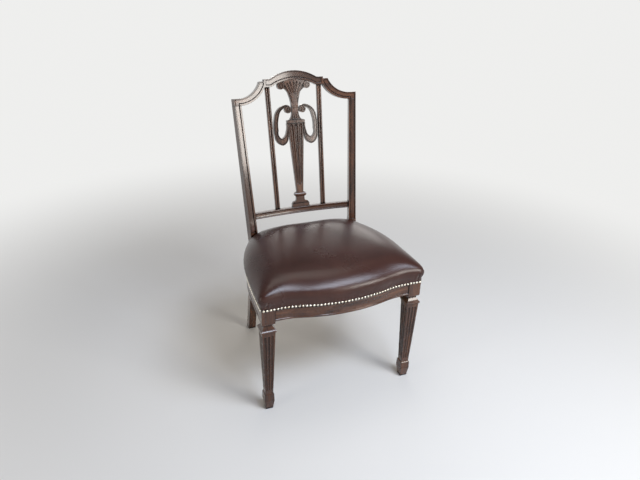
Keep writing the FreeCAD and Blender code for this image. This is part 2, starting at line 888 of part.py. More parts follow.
def crest_outline():
    end_x = stile_outer(crest_corner_h) + 20.0
    edges = arch_edges(0, crest_step_x)
    tab_in = Vector(crest_step_x, 0, crest_tab_h)
    tab_out = Vector(crest_tab_x, 0, crest_tab_h)
    scoop_end = Vector(crest_flat_x, 0, crest_corner_h)
    corner_top = Vector(end_x, 0, crest_corner_h)
    corner_foot = Vector(end_x, 0, crest_joint_h)
    under_start = Vector(under_flat_x, 0, crest_joint_h)
    under_end = Vector(under_scoop_x, 0, crest_under_h)
    flat_end = Vector(under_arch_half, 0, crest_under_h)
    middle = Vector(0, 0, crest_under_top_h)
    edges += [
        line(Vector(crest_step_x, 0, crest_shoulder_h), tab_in),
        line(tab_in, tab_out),
        arc_about(scoop_centre, scoop_radius, tab_out, scoop_end),
        line(scoop_end, corner_top),
        line(corner_top, corner_foot),
        line(corner_foot, under_start),
        arc_about(under_scoop_centre, under_scoop_radius, under_start, under_end),
        line(under_end, flat_end),
        arc_about(under_arch_centre, under_arch_radius, flat_end, middle),
    ]
    return closed_mirror(edges)


def arch_hollow(foot_inset, top_inset):
    """Face of the hollow under the arch."""
    low_h = crest_under_h + foot_inset
    under_radius = under_arch_radius + foot_inset
    under_start = at_height(under_arch_centre, under_radius, low_h, True)
    edges = arch_edges(top_inset, mould_stop_x)
    corner = Vector(mould_stop_x, 0, crest_shoulder_h - top_inset)
    corner_low = Vector(mould_stop_x, 0, low_h)
    edges += [
        line(corner, corner_low),
        line(corner_low, under_start),
        arc_about(under_arch_centre, under_radius, under_start, Vector(0, 0, crest_under_top_h + foot_inset)),
    ]
    return closed_mirror(edges)


def arch_quirk():
    """Face of the narrow groove along the foot of the arch's hollow."""
    edges = []
    ends = []
    for inset in (mould_inner, mould_inner + mould_groove):
        radius = under_arch_radius + inset
        start = at_height(under_arch_centre, radius, crest_under_h + inset, True)
        corner = Vector(mould_stop_x, 0, crest_under_h + inset)
        edges.append(line(corner, start))
        edges.append(arc_about(under_arch_centre, radius, start, Vector(0, 0, crest_under_top_h + inset)))
        ends.append(corner)
    edges.append(line(ends[0], ends[1]))
    return closed_mirror(edges)


def scoop_hollow(inner_inset, outer_inset):
    """Face of the right-hand hollow, from the step down to the stile."""
    top_h = crest_tab_h - outer_inset
    upper = scoop_radius + outer_inset
    lower = under_scoop_radius - inner_inset
    start = Vector(mould_scoop_x, 0, top_h)
    turn = at_height(scoop_centre, upper, top_h, False)
    level = Vector(crest_flat_x, 0, crest_corner_h - outer_inset)
    corner = Vector(stile_outer(crest_corner_h) - outer_inset, 0, level.z)
    foot_out = Vector(stile_outer(crest_joint_h) - outer_inset, 0, crest_joint_h - 1.0)
    inner_x = stile_outer(crest_joint_h) - stile_width * math.cos(stile_turn_rad) + inner_inset
    foot_in = Vector(inner_x, 0, crest_joint_h - 1.0)
    bend = Vector(inner_x, 0, under_scoop_centre.z - lower)
    low = Vector(under_flat_x, 0, under_scoop_centre.z - lower)
    end = on_circle(under_scoop_centre, lower, mould_scoop_x, False)
    return face_of([
        line(start, turn),
        arc_about(scoop_centre, upper, turn, level),
        line(level, corner),
        line(corner, foot_out),
        line(foot_out, foot_in),
        line(foot_in, bend),
        line(bend, low),
        arc_about(under_scoop_centre, lower, low, end),
        line(end, start),
    ])


def scoop_quirk():
    """Face of the narrow groove along the lower edge of the right-hand hollow."""
    inner_x = stile_outer(crest_joint_h) - stile_width * math.cos(stile_turn_rad)
    sides = []
    for inset in (mould_inner, mould_inner + mould_groove):
        lower = under_scoop_radius - inset
        foot = Vector(inner_x + inset, 0, crest_joint_h - 1.0)
        bend = Vector(inner_x + inset, 0, under_scoop_centre.z - lower)
        low = Vector(under_flat_x, 0, under_scoop_centre.z - lower)
        end = on_circle(under_scoop_centre, lower, mould_scoop_x, False)
        sides.append((foot, bend, low, end, lower))
    edges = []
    for foot, bend, low, end, lower in sides:
        edges += [line(foot, bend), line(bend, low), arc_about(under_scoop_centre, lower, low, end)]
    edges.append(line(sides[0][0], sides[1][0]))
    edges.append(line(sides[0][3], sides[1][3]))
    return Part.Face(Part.Wire(Part.__sortEdges__(edges)))


def crest_rail():
    low_h = crest_joint_h - 5.0
    high_h = crest_top_h + 5.0
    half = stile_outer(high_h) + 30.0

    def layer(near, far):
        return bow_slab(crest_behind + near, crest_behind + far, half, low_h, high_h)

    rail = through_back(crest_outline()).common(layer(0, crest_depth))
    rail = rail.common(between_stiles(0))
    hollow = layer(-3.0, mould_depth)
    quirk = layer(-3.0, mould_groove_depth)
    cutters = [through_back(arch_hollow(mould_inner, mould_outer)).common(hollow)]
    cutters.append(through_back(arch_quirk()).common(quirk))
    for face, depth in ((scoop_hollow(mould_inner, mould_outer), hollow), (scoop_quirk(), quirk)):
        cutter = through_back(face).common(depth)
        cutters += [cutter, mirrored(cutter)]
    cutters += [stile_tenon(joint_clearance), mirrored(stile_tenon(joint_clearance))]
    cutters += [post_tenon(side, joint_clearance, True) for side in (-1, 1)]
    cutters.append(splat_tongue(joint_clearance))
    return rail.cut(cutters)


# Posts
def back_post():
    """Right post, with two reeds on its face."""
    foot_h = lower_rail_h + lower_rail_height
    half = post_width / 2
    near = post_face_n
    valley = near + 3.4
    far = near + post_depth
    left = Vector(post_foot_x - half, valley, foot_h)
    middle = Vector(post_foot_x, valley, foot_h)
    right = Vector(post_foot_x + half, valley, foot_h)
    rear_right = Vector(post_foot_x + half, far, foot_h)
    rear_left = Vector(post_foot_x - half, far, foot_h)
    section = face_of([
        arc(left, Vector(post_foot_x - half / 2, near, foot_h), middle),
        arc(middle, Vector(post_foot_x + half / 2, near, foot_h), right),
        line(right, rear_right),
        line(rear_right, rear_left),
        line(rear_left, left),
    ])
    post = section.extrude(Vector(post_head_x - post_foot_x, 0, crest_under_h - foot_h))
    return post.fuse([post_tenon(1, 0, False), post_tenon(1, 0, True)])


# Splat
splat_foot_h = lower_rail_h + lower_rail_height
splat_height = crest_under_top_h - splat_foot_h
splat_far = splat_face_n + splat_depth
relief_n = splat_face_n - splat_relief
lyre_post_x = post_foot_x + 0.67 * (post_head_x - post_foot_x)
lyre_half_width = lyre_post_x - post_width / 2 - lyre_post_gap


def splat_at(across, up, n=0.0):
    """Point of the splat, in percent of the lyre's half width and of the splat's height."""
    return Vector(across * lyre_half_width / 100, n, splat_foot_h + up * splat_height / 100)


def chain(points):
    """Arcs through each run of three points, sharing their ends."""
    vectors = [splat_at(*point) for point in points]
    return [arc(*vectors[start:start + 3]) for start in range(0, len(vectors) - 2, 2)]


def straight(*points):
    vectors = [splat_at(*point) for point in points]
    return [line(start, end) for start, end in zip(vectors, vectors[1:])]


def board(face, near, far):
    moved = face.copy()
    moved.translate(Vector(0, near, 0))
    return moved.extrude(Vector(0, far - near, 0))


base_roll_edge = [(20.5, 8.45), (26.9, 10.1), (20.5, 11.73)]
cap_edge = [(38.5, 66.99), (41, 68.16), (38.5, 69.33)]


def pilaster_face():
    """Plinth, turned base, tapered pilaster, cap and stem."""
    edges = straight((0, 0), (39.7, 0), (39.7, 2.87), (37.2, 3.21))
    edges += chain([(37.2, 3.21), (33.3, 4.25), (26.9, 4.66), (21.3, 5.12), (19.2, 6.08)])
    edges += straight((19.2, 6.08), (18.7, 8.1), base_roll_edge[0])
    edges += chain(base_roll_edge)
    edges += straight(base_roll_edge[-1], (15.1, 12.21), (36.5, 66.99), cap_edge[0])
    edges += chain(cap_edge)
    edges += straight(cap_edge[-1], (26.9, 69.79))
    edges += chain([(26.9, 69.79), (18.7, 71.97), (15.4, 74.95)])
    edges += straight((15.4, 74.95), (15.4, 80.92), (0, 80.92))
    return closed_mirror(edges)


def between_ends(outline):
    """Face of the turned part that lies between the ends of an outline."""
    low, high = outline[0], outline[-1]
    return closed_mirror(straight((0, low[1]), low) + chain(outline) + straight(high, (0, high[1])))


def lyre_scroll():
    """Right-hand scroll of the lyre."""
    outer = [(18.6, 76.56), (25.6, 80), (44.9, 81.15), (76.9, 78.4), (96.2, 71.05)]
    outer += [(100, 63.71), (96.8, 56.13), (87.2, 52.23), (65.4, 50.16)]
    outer += [(48.7, 51.77), (38.5, 56.36), (33.8, 61.41), (35.9, 66.92)]
    inner = [(42.3, 66.92), (41.7, 63.71), (46.2, 60.26), (54.5, 57.05), (69.2, 55.56), (78.2, 57.05)]
    inner += [(81.4, 61.87), (80.8, 68.76), (74.4, 73.35), (59.6, 77.71), (38.5, 78.97)]
    edges = chain(outer) + straight(outer[-1], inner[0]) + chain(inner) + straight(inner[-1], outer[0])
    return Part.Face(Part.Wire(edges))


def lyre_channels():
    """Faces of the hollow that leaves a raised rim round each scroll."""
    inner = lyre_scroll().makeOffset2D(-lyre_rim)
    return [Part.Face(found) for found in inner.Wires]


def plume_face():
    """Fan of feathers from the stem up into the crest."""
    under = at_height(under_arch_centre, under_arch_radius, crest_under_top_h - plume_crest_drop, True)
    shoulder = splat_at(59, 94.47)
    edges = straight((0, 79.09), (15.4, 79.09), (15.4, 80.92))
    edges += chain([(15.4, 80.92), (18.6, 84.6), (24.4, 88.27), (30.8, 91.02), (43.6, 93.09)])
    edges += straight((43.6, 93.09), (59, 94.47))
    edges.append(line(shoulder, under))
    edges.append(arc_about(under_arch_centre, under_arch_radius, under, Vector(0, 0, crest_under_top_h)))
    return closed_mirror(edges)


# Feathers of the plume: foot and head of each vein
plume_veins = [
    ((0, 89.42), (0, 98.14)),
    ((4.4, 89.42), (14.7, 97.68)),
    ((8.5, 88.04), (28.8, 96.76)),
    ((12.2, 85.74), (40.4, 95.16)),
    ((11, 82.53), (26.3, 90.79)),
]


def volute(centre, radius, near, far):
    """Scroll end: a disc with its face sunk inside a rim and an eye standing proud."""
    disc = faceted([round_ring(radius, 0, volute_sides), round_ring(radius, far - near, volute_sides)])
    hollow = faceted([
        round_ring(radius * 0.8, -1.0, volute_sides),
        round_ring(radius * 0.62, volute_sink, volute_sides),
    ])
    eye = faceted([
        round_ring(radius * 0.28, -0.4, volute_sides // 2),
        round_ring(radius * 0.44, volute_sink + 1.0, volute_sides // 2),
    ])
    turned = disc.cut(hollow).fuse(eye)
    turned.Placement = Placement(centre + Vector(0, near, 0), Rotation(Vector(0, 0, 1), Vector(0, 1, 0)))
    return turned


def splat_grooves():
    """Cutters of the pilaster's flutes, the stem's reeds and the plume's veins."""
    into = Vector(0, 1, 0)
    cutters = []
    for row in (-1, 0, 1):
        low = splat_at(row * 9.2, 19.17 if row else 18.02, splat_face_n)
        high = splat_at(row * 21, 64.85, splat_face_n)
        cutters.append(groove(low, high, pilaster_flute_foot, pilaster_flute_top, into))
    for low, high in plume_veins:
        start = splat_at(low[0], low[1], splat_face_n - 1.0)
        end = splat_at(high[0], high[1], splat_face_n - 1.0)
        vein = groove(start, end, plume_vein_foot, plume_vein_top, into)
        cutters += [vein, mirrored(vein)] if high[0] else [vein]
    for foot_x, head_x in ((3.3, 5.4), (10.3, 16.2)):
        start = splat_at(foot_x, 74.72, splat_face_n)
        end = splat_at(head_x, 70.36, splat_face_n)
        reed = groove(start, end, stem_reed_foot, stem_reed_top, into)
        cutters += [reed, mirrored(reed)]
    return cutters


def splat():
    body = board(pilaster_face(), splat_face_n, splat_far)
    plinth_top = splat_at(39.7, 2.87)
    plinth = box((-plinth_top.x, plinth_top.x), (relief_n, splat_face_n + 1), (splat_foot_h, plinth_top.z))
    roll_middle = splat_at(-base_roll_edge[1][0], base_roll_edge[1][1], splat_face_n + base_roll_radius * 0.6)
    roll = Part.makeCylinder(base_roll_radius, -2 * roll_middle.x, roll_middle, Vector(1, 0, 0))
    roll = roll.common(board(between_ends(base_roll_edge), relief_n - 5, splat_far))
    cap = board(between_ends(cap_edge), relief_n - 1.0, splat_far)
    plume = board(plume_face(), splat_face_n - 1.0, splat_far)
    scroll = board(lyre_scroll(), relief_n, splat_far)
    floor_n = relief_n + lyre_channel_depth
    scroll = scroll.cut([board(face, relief_n - 1, floor_n) for face in lyre_channels()])
    low_volute = volute(splat_at(33.3, 77.25), low_volute_radius, relief_n - 1.0, splat_far)
    high_volute = volute(splat_at(59, 95.5), high_volute_radius, relief_n - 1.0, splat_far)
    pieces = [plinth, roll, cap, plume]
    for piece in (scroll, low_volute, high_volute):
        pieces += [piece, mirrored(piece)]
    body = body.fuse(pieces).cut(splat_grooves())
    crest_slab = bow_slab(crest_behind, crest_depth + 20, crest_step_x, crest_under_h - 1, crest_top_h)
    body = body.cut(crest_slab.common(through_back(crest_outline())))
    return body.fuse([splat_tenon(0), splat_tongue(0)])


# Corner blocks
def side_inner_x(y):
    """Inner face of the right side rail at y, taken as a straight line."""
    front = block_outer_x - side_rail_setback - side_rail_thick
    rear = side_rail_end_x - side_rail_thick
    share = (y - block_rear_y) / (rear_leg_front_y - block_rear_y)
    return front + share * (rear - front)


def block_prism(points):
    face = polygon([Vector(x, y, corner_block_bottom) for x, y in points])
    return face.extrude(Vector(0, 0, corner_block_height))


def screw(point, direction):
    """Countersunk wood screw, its head at the point."""
    sizes = ((0.0, screw_head_radius), (screw_head_height, screw_radius), (screw_long, screw_radius))
    made = faceted([round_ring(radius, along, screw_sides) for along, radius in sizes])
    made.Placement = Placement(point, Rotation(Vector(0, 0, 1), direction))
    return made


def corner_screws(start, end, inward):
    """Two screws square to a block's long face."""
    screws = []
    for share in screw_places:
        place = start + (end - start) * share
        screws.append(screw(place, inward))
    return screws


def front_block_line():
    inner_y = block_front_y + front_rail_inner_y
    start = Vector(block_inner_x - corner_block_reach, inner_y, corner_block_middle)
    y = block_rear_y + corner_block_reach - corner_block_front_short
    return start, Vector(side_inner_x(y), y, corner_block_middle)


def rear_block_line():
    front_y = rear_rail_back_y - rear_rail_thick
    start = Vector(rear_leg_inner_x - corner_block_reach, front_y, corner_block_middle)
    y = rear_leg_front_y - corner_block_reach + corner_block_rear_short
    return start, Vector(side_inner_x(y), y, corner_block_middle)


def block_screws(ends, turn):
    start, end = ends
    along = (end - start).normalize()
    return corner_screws(start, end, Vector(-along.y * turn, along.x * turn, 0))


def front_corner_block(neighbours):
    start, end = front_block_line()
    corner = (block_outer_x - side_rail_setback, block_front_y + front_rail_inner_y)
    block = block_prism([(start.x, start.y), corner, (corner[0], end.y), (end.x, end.y)])
    return largest(block.cut(neighbours + block_screws((start, end), -1)))


def rear_corner_block(neighbours):
    start, end = rear_block_line()
    corner_y = rear_rail_back_y - rear_rail_thick
    outer_x = rear_leg_outer_x + 30.0
    block = block_prism([(start.x, start.y), (outer_x, corner_y), (outer_x, end.y), (end.x, end.y)])
    return largest(block.cut(neighbours + block_screws((start, end), 1)))


def largest(shape):
    return max(shape.Solids, key=lambda solid: solid.Volume)


# Seat
hessian_bottom = rail_top + 2 * web_thick
hessian_top = hessian_bottom + hessian_thick
inner_rear_y = rear_rail_back_y - web_inset


def strap_room(low_z, high_z):
    """Room inside the seat frame that webbing and hessian may take."""
    return outline_prism(-web_inset, -web_inset, inner_rear_y, low_z, high_z)


def webbing_front_to_back():
    room = strap_room(rail_top, rail_top + web_thick)
    straps = []
    for x in web_places_x:
        across = (x - web_width / 2, x + web_width / 2)
        strip = box(across, (block_front_y - front_rail_bow, inner_rear_y), (rail_top, hessian_bottom))
        straps.append(largest(strip.common(room)))
    return Part.makeCompound(straps)


def webbing_side_to_side():
    low = rail_top + web_thick
    room = strap_room(low, hessian_bottom)
    straps = []
    for y in web_places_y:
        middle = front_leg_y + y
        along = (middle - web_width / 2, middle + web_width / 2)
        strip = box((-side_rail_shoulder_x, side_rail_shoulder_x), along, (low, hessian_bottom))
        straps.append(largest(strip.common(room)))
    return Part.makeCompound(straps)


def seat_ring(front_out, side_out, rear_y):
    """Closed level outline over legs and rails, in short straight runs."""
    edges, front_end, corner, flank, rear_out = seat_edges(front_out, side_out, rear_y)
    first = seat_runs[0]
    points = edges[1].discretize(Number=2 * first + 1)[first:]
    for edge, count in zip([edges[2], front_end, corner] + flank, seat_runs[1:]):
        points += edge.discretize(Number=count + 1)[1:]
    points.append(rear_out)
    return points + [Vector(-point.x, point.y, 0) for point in reversed(points[1:])]


def seat_dome(inset):
    """Crowned body of the seat, this far inside its outer skin."""
    rear_y = rear_rail_back_y + leather_thick - inset
    rings = []
    for rise, share in seat_rise:
        front = seat_foot_out + share * (seat_bulge_front - seat_foot_out)
        side = seat_foot_out + share * (seat_bulge_side - seat_foot_out)
        ring = seat_ring(front - inset, side - inset, rear_y)
        rings.append([Vector(point.x, point.y, rail_top + rise) for point in ring])
    full = seat_ring(seat_bulge_front - inset, seat_bulge_side - inset, rear_y)
    for rise, scale, centre_y in seat_crown:
        centre = Vector(0, front_leg_y + centre_y, 0)
        lift = Vector(0, 0, rail_top + rise - inset)
        rings.append([centre + (point - centre) * scale + lift for point in full])
    return faceted(rings, True)


def stile_room(gap):
    """Room that the right rear leg and stile take out of the seat."""
    lean = Vector(0, math.sin(math.radians(back_rake)), math.cos(math.radians(back_rake)))
    bend = back_frame.multVec(Vector(0, 0, knee_end_h))
    top = bend + lean * 120.0
    front_y = rear_leg_front_y - gap
    profile = [
        Vector(0, front_y, leather_bottom - 10.0),
        Vector(0, front_y, knee_start_z),
        Vector(0, bend.y - gap, bend.z),
        Vector(0, top.y - gap, top.z),
        Vector(0, front_y + 150.0, top.z),
        Vector(0, front_y + 150.0, leather_bottom - 10.0),
    ]
    face = polygon(profile)
    face.translate(Vector(rear_leg_inner_x - gap, 0, 0))
    return face.extrude(Vector(120, 0, 0))


def seat_padding():
    dome = seat_dome(leather_thick)
    rooms = [stile_room(seat_notch_gap + leather_thick), mirrored(stile_room(seat_notch_gap + leather_thick))]
    return largest(dome.cut([strap_room(rail_top - 1, hessian_top)] + rooms))


def leather_skirt():
    """Band of leather over the faces of legs and rails."""
    rear_y = rear_rail_back_y + leather_thick
    outer = outline_prism(leather_thick, leather_thick, rear_y, leather_bottom, rail_top)
    inner = outline_prism(-web_inset, -web_inset, inner_rear_y, leather_bottom - 1, rail_top + 1)
    return outer.cut(inner)


def seat_cover(frame):
    shell = seat_dome(0).cut(seat_dome(leather_thick))
    cover = shell.fuse(leather_skirt())
    rooms = [stile_room(seat_notch_gap), mirrored(stile_room(seat_notch_gap))]
    return largest(cover.cut(rooms).cut(frame))


# Nails
def nail(point, outward):
    """Domed nail head, a few flats stand for its round."""
    sizes = ((0.0, nail_radius), (nail_height, nail_radius * 0.5))
    head = faceted([round_ring(radius, rise, nail_sides) for rise, radius in sizes])
    head.Placement = Placement(point, Rotation(Vector(0, 0, 1), outward))
    return head


def nail_row(path, turn):
    """Nails at an even pitch along a path, facing to one side of it."""
    wire = Part.Wire(path)
    count = int(round(wire.Length / nail_pitch)) + 1
    points = wire.discretize(Number=count)
    heads = []
    for index, point in enumerate(points):
        before = points[max(index - 1, 0)]
        after = points[min(index + 1, count - 1)]
        along = (after - before).normalize()
        outward = Vector(along.y * turn, -along.x * turn, 0)
        heads.append(nail(Vector(point.x, point.y, nail_line_z), outward))
    return Part.makeCompound(heads)


def nails_front():
    edges, front_end, corner, flank, rear_out = seat_edges(leather_thick, leather_thick, 0)
    end_x = block_outer_x - nail_corner_gap
    flat = front_end.valueAt(front_end.FirstParameter)
    left = line(Vector(-end_x, flat.y, 0), Vector(-flat.x, flat.y, 0))
    right = line(flat, Vector(end_x, flat.y, 0))
    return nail_row([left] + edges + [right], 1)


def nails_side():
    edges, front_end, corner, flank, rear_out = seat_edges(leather_thick, leather_thick, 0)
    start = flank[0].valueAt(flank[0].FirstParameter)
    rear = flank[2]
    span = rear.LastParameter - rear.FirstParameter
    stop = rear.LastParameter - span * nail_corner_gap / rear.Length
    shortened = rear.Curve.toShape(rear.FirstParameter, stop)
    first = line(Vector(start.x, start.y, 0), flank[0].valueAt(flank[0].LastParameter))
    return nail_row([first, flank[1], shortened], 1)


def nails_back():
    y = rear_rail_back_y + leather_thick
    end_x = rear_leg_inner_x - nail_corner_gap
    return nail_row([line(Vector(-end_x, y, 0), Vector(end_x, y, 0))], -1)


def build():
    """Every named piece of the chair."""
    leg = front_leg()
    back_leg = rear_leg()
    rail_front = front_rail()
    rail_side = side_rail()
    rail_rear = rear_rail()
    frame = [leg, mirrored(leg), back_leg, mirrored(back_leg)]
    rails = [rail_front, rail_side, mirrored(rail_side), rail_rear]
    front_screws = block_screws(front_block_line(), -1)
    rear_screws = block_screws(rear_block_line(), 1)
    screws = front_screws + rear_screws
    front_block = front_corner_block([leg, rail_front, rail_side])
    rear_block = rear_corner_block([back_leg, rail_rear, rail_side])
    both_screws = Part.makeCompound(screws + [mirrored(each) for each in screws])
    leg = leg.cut(screws)
    back_leg = back_leg.cut(screws)
    rail_side = rail_side.cut(screws)
    rail_front = rail_front.cut(screws + [mirrored(each) for each in screws])
    rail_rear = rail_rear.cut(screws + [mirrored(each) for each in screws])
    post = in_world(back_post())
    side_nails = nails_side()
    return {
        "front_leg_right": leg,
        "front_leg_left": mirrored(leg),
        "rear_leg_right": back_leg,
        "rear_leg_left": mirrored(back_leg),
        "front_seat_rail": rail_front,
        "side_seat_rail_right": rail_side,
        "side_seat_rail_left": mirrored(rail_side),
        "rear_seat_rail": rail_rear,
        "corner_block_front_right": front_block,
        "corner_block_front_left": mirrored(front_block),
        "corner_block_rear_right": rear_block,
        "corner_block_rear_left": mirrored(rear_block),
        "corner_block_screws": both_screws,
        "crest_rail": in_world(crest_rail()),
        "lower_back_rail": in_world(lower_back_rail()),
        "back_post_right": post,
        "back_post_left": mirrored(post),
        "splat": in_world(splat()),
        "seat_webbing_front_to_back": webbing_front_to_back(),
        "seat_webbing_side_to_side": webbing_side_to_side(),
        "hessian_base": strap_room(hessian_bottom, hessian_top),
        "seat_padding": seat_padding(),
        "seat_cover": seat_cover(frame + rails),
        "seat_nails_front": nails_front(),
        "seat_nails_right": side_nails,
        "seat_nails_left": mirrored(side_nails),
        "seat_nails_back": nails_back(),
    }


os.makedirs("parts", exist_ok=True)
for name, shape in build().items():
    shape.exportStep("parts/" + name + ".step")
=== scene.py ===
import math

import bmesh
import bpy
import numpy as np
from mathutils import Matrix, Vector


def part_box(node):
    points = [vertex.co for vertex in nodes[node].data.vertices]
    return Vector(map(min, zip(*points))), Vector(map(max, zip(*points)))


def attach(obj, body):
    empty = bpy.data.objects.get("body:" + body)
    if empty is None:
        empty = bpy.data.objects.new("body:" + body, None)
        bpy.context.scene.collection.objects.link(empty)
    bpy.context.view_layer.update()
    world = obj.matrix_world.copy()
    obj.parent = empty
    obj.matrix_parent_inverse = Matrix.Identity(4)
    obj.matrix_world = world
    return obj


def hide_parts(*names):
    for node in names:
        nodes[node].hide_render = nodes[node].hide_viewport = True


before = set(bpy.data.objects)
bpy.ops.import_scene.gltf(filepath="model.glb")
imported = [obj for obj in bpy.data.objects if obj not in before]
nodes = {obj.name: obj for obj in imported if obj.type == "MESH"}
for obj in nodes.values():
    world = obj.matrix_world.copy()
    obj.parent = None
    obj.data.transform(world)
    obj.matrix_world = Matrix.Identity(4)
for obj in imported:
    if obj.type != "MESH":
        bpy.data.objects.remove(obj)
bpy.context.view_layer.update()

MM = 0.001

# Main sizes of the seat, millimetres, in the part's frame
BLOCK_FRONT_Y = -248.2
BLOCK_REAR_Y = -206.2
BLOCK_OUTER_X = 265.3
SERPENTINE_BOW = 27.6
SERPENTINE_CONVEX_HALF = 138.0
SERPENTINE_FLAT_FROM = 205.0
CORNER_RADIUS = 7.0
SIDE_FRONT_X = 264.3
SIDE_SHOULDER = (258.0, -77.2)
SIDE_CURVE = (237.0, 25.8)
SIDE_REAR = (196.5, 114.8)
SEAT_REAR_Y = 149.3
LEG_INNER_X = 170.0
LEG_FRONT_Y = 114.8
KNEE_START_Z = 394.2
KNEE_END = (118.7, 465.0)
BACK_RAKE = math.radians(12.39)
FRONT_LEG_Y = -227.2
NAIL_LINE_Z = 387.0
NAIL_PITCH = 11.0

# Share of a corner's radius between its middle and the lines that the corner joins
CORNER_CUT = 0.293

# How the seat's mesh is cut, evened and swollen: its gap round the legs in millimetres, other
# lengths in metres
LEG_GAP_MM = 1.2
VOXEL = 0.0055
HELD_BELOW = 0.3975
PRESSURE = 2.5
SWELL_FRAMES = 16
SWELL_CAP = 0.004
SWELL_ROUNDS = 40
ROUNDS_BEFORE = 20
ROUNDS_AFTER = 6
DRAW_AND_RELEASE = (0.62, -0.64)

# Height at which the seat's outline starts to round, millimetres, and how fast it does
ROUNDING_FROM_Z = 434.0
ROUNDING_RATE = 0.20

# Pleats at the front corners: place across, depth and width, millimetres
PLEATS = ((252.0, -2.4, 2.2), (245.5, 0.9, 3.0), (257.5, 0.7, 2.6))

# Where the leather is open: under the seat, and at the foot of the leg notches, metres
OPEN_BELOW_Z = 0.3835
NOTCH_FROM = (0.160, 0.1125)
NOTCH_EDGE = (0.1725, 0.1165)
NOTCH_TOP_Z = 0.399

# Leather and the stuffing under it, metres
LEATHER_THICK = 0.0014
STUFFING_INSET = 0.0022
STUFFING_FOOT_Z = 0.4045

# Nail heads, radius and rise of each ring and the rise of the tip, millimetres
NAIL_PROFILE = ((3.8, 0.0), (3.75, 0.7), (3.4, 1.6), (2.7, 2.3), (1.8, 2.74), (0.8, 2.93))
NAIL_TIP = 2.98
NAIL_SIDES = 14

# Middle of the first strap across each axis, the pitch of the straps and their form, metres
WEB_FIRST = (-0.105, -0.1372)
WEB_PITCH = 0.07
WEB_HALF_WIDTH = 0.025
WEB_HALF_THICK = 0.0006
WEB_MIDDLE_Z = 0.4016
WEB_WAVE = 0.0008
WEB_STEPS = 60

# Grid, thickness and dip of the cloth over the webbing, metres
CLOTH_GRID = 0.008
CLOTH_THICK = 0.0006
CLOTH_DIP = 0.0001

# Corners of a split mesh nearer than this are one, metres
SAME_PLACE = 0.00002

# Camera, where the photographer stood
CAMERA_AT = (-0.6218, -1.5856, 1.3308)
CAMERA_TURN = math.radians(21.74)
CAMERA_PITCH = math.radians(27.13)
CAMERA_ROLL = math.radians(-1.59)
FOCAL_PIXELS = 568.92
PHOTO_WIDTH = 640.0
SENSOR = 36.0

# Strength of the world's light, and the pale backdrop and darker ceiling that the camera and mirrors see
WORLD_LIGHT = 0.20
BACKDROP = (0.86, 0.86, 0.85)
CEILING = (0.36, 0.37, 0.39)
BACKDROP_UP_TO = 0.16
CEILING_FROM = 0.52

# Distances from the chair at which the floor starts and ends its fade into the backdrop, metres
FLOOR_FADE = (0.75, 2.3)

# Reach of the painted shade in grooves and of the painted tone along arrises, metres
PAINTED_CREVICE_REACH = 0.008
PAINTED_ARRIS_REACH = 0.0032

# Lamps: name, place, target, size, power and colour
LAMPS = (
    ("overhead", (0.1, 0.3, 2.5), (0.0, 0.0, 0.4), (1.4, 1.0), 8.0, (1.0, 0.95, 0.88)),
    ("high_window", (0.7, -1.55, 2.45), (0.0, -0.25, 0.45), (1.6, 0.8), 56.0, (0.76, 0.85, 1.0)),
    ("front_window", (1.46, -2.3, 1.25), (0.0, 0.1, 0.7), (0.9, 0.85), 33.0, (1.0, 0.97, 0.91)),
    ("left_window", (-2.4, -0.7, 1.2), (0.0, 0.0, 0.5), (0.7, 1.2), 7.0, (1.0, 0.94, 0.87)),
    ("rear_window", (1.0, 2.4, 1.3), (0.0, 0.0, 0.45), (1.6, 0.7), 9.0, (1.0, 0.97, 0.93)),
)


def make_camera():
    forward = Vector((
        math.sin(CAMERA_TURN) * math.cos(CAMERA_PITCH),
        math.cos(CAMERA_TURN) * math.cos(CAMERA_PITCH),
        -math.sin(CAMERA_PITCH),
    ))
    right = Vector((math.cos(CAMERA_TURN), -math.sin(CAMERA_TURN), 0.0))
    down = forward.cross(right)
    if down.z > 0:
        down = -down
    across = right * math.cos(CAMERA_ROLL) + down * math.sin(CAMERA_ROLL)
    below = down * math.cos(CAMERA_ROLL) - right * math.sin(CAMERA_ROLL)
    data = bpy.data.cameras.new("camera")
    data.sensor_width = SENSOR
    data.lens = FOCAL_PIXELS * SENSOR / PHOTO_WIDTH
    data.clip_end = 50.0
    camera = bpy.data.objects.new("camera", data)
    bpy.context.scene.collection.objects.link(camera)
    axes = Matrix((across, -below, -forward)).transposed()
    camera.matrix_world = Matrix.Translation(Vector(CAMERA_AT)) @ axes.to_4x4()
    bpy.context.scene.camera = camera


make_camera()


# Stage and light
def node_tree(name):
    material = bpy.data.materials.new(name)
    material.use_nodes = True
    tree = material.node_tree
    shader = tree.nodes["Principled BSDF"]
    return material, tree, shader


def ramp(tree, value, stops):
    made = tree.nodes.new("ShaderNodeValToRGB")
    elements = made.color_ramp.elements
    while len(elements) < len(stops):
        elements.new(0.5)
    for element, (place, colour) in zip(elements, stops):
        element.position = place
        element.color = (*colour, 1.0)
    tree.links.new(value, made.inputs["Fac"])
    return made.outputs["Color"]


def seen_directly(tree):
    """1 for rays from the camera, from mirrors and through glass."""
    path = tree.nodes.new("ShaderNodeLightPath")
    first = tree.nodes.new("ShaderNodeMath")
    first.operation = "MAXIMUM"
    second = tree.nodes.new("ShaderNodeMath")
    second.operation = "MAXIMUM"
    tree.links.new(path.outputs["Is Camera Ray"], first.inputs[0])
    tree.links.new(path.outputs["Is Glossy Ray"], first.inputs[1])
    tree.links.new(first.outputs[0], second.inputs[0])
    tree.links.new(path.outputs["Is Transmission Ray"], second.inputs[1])
    return second.outputs[0]


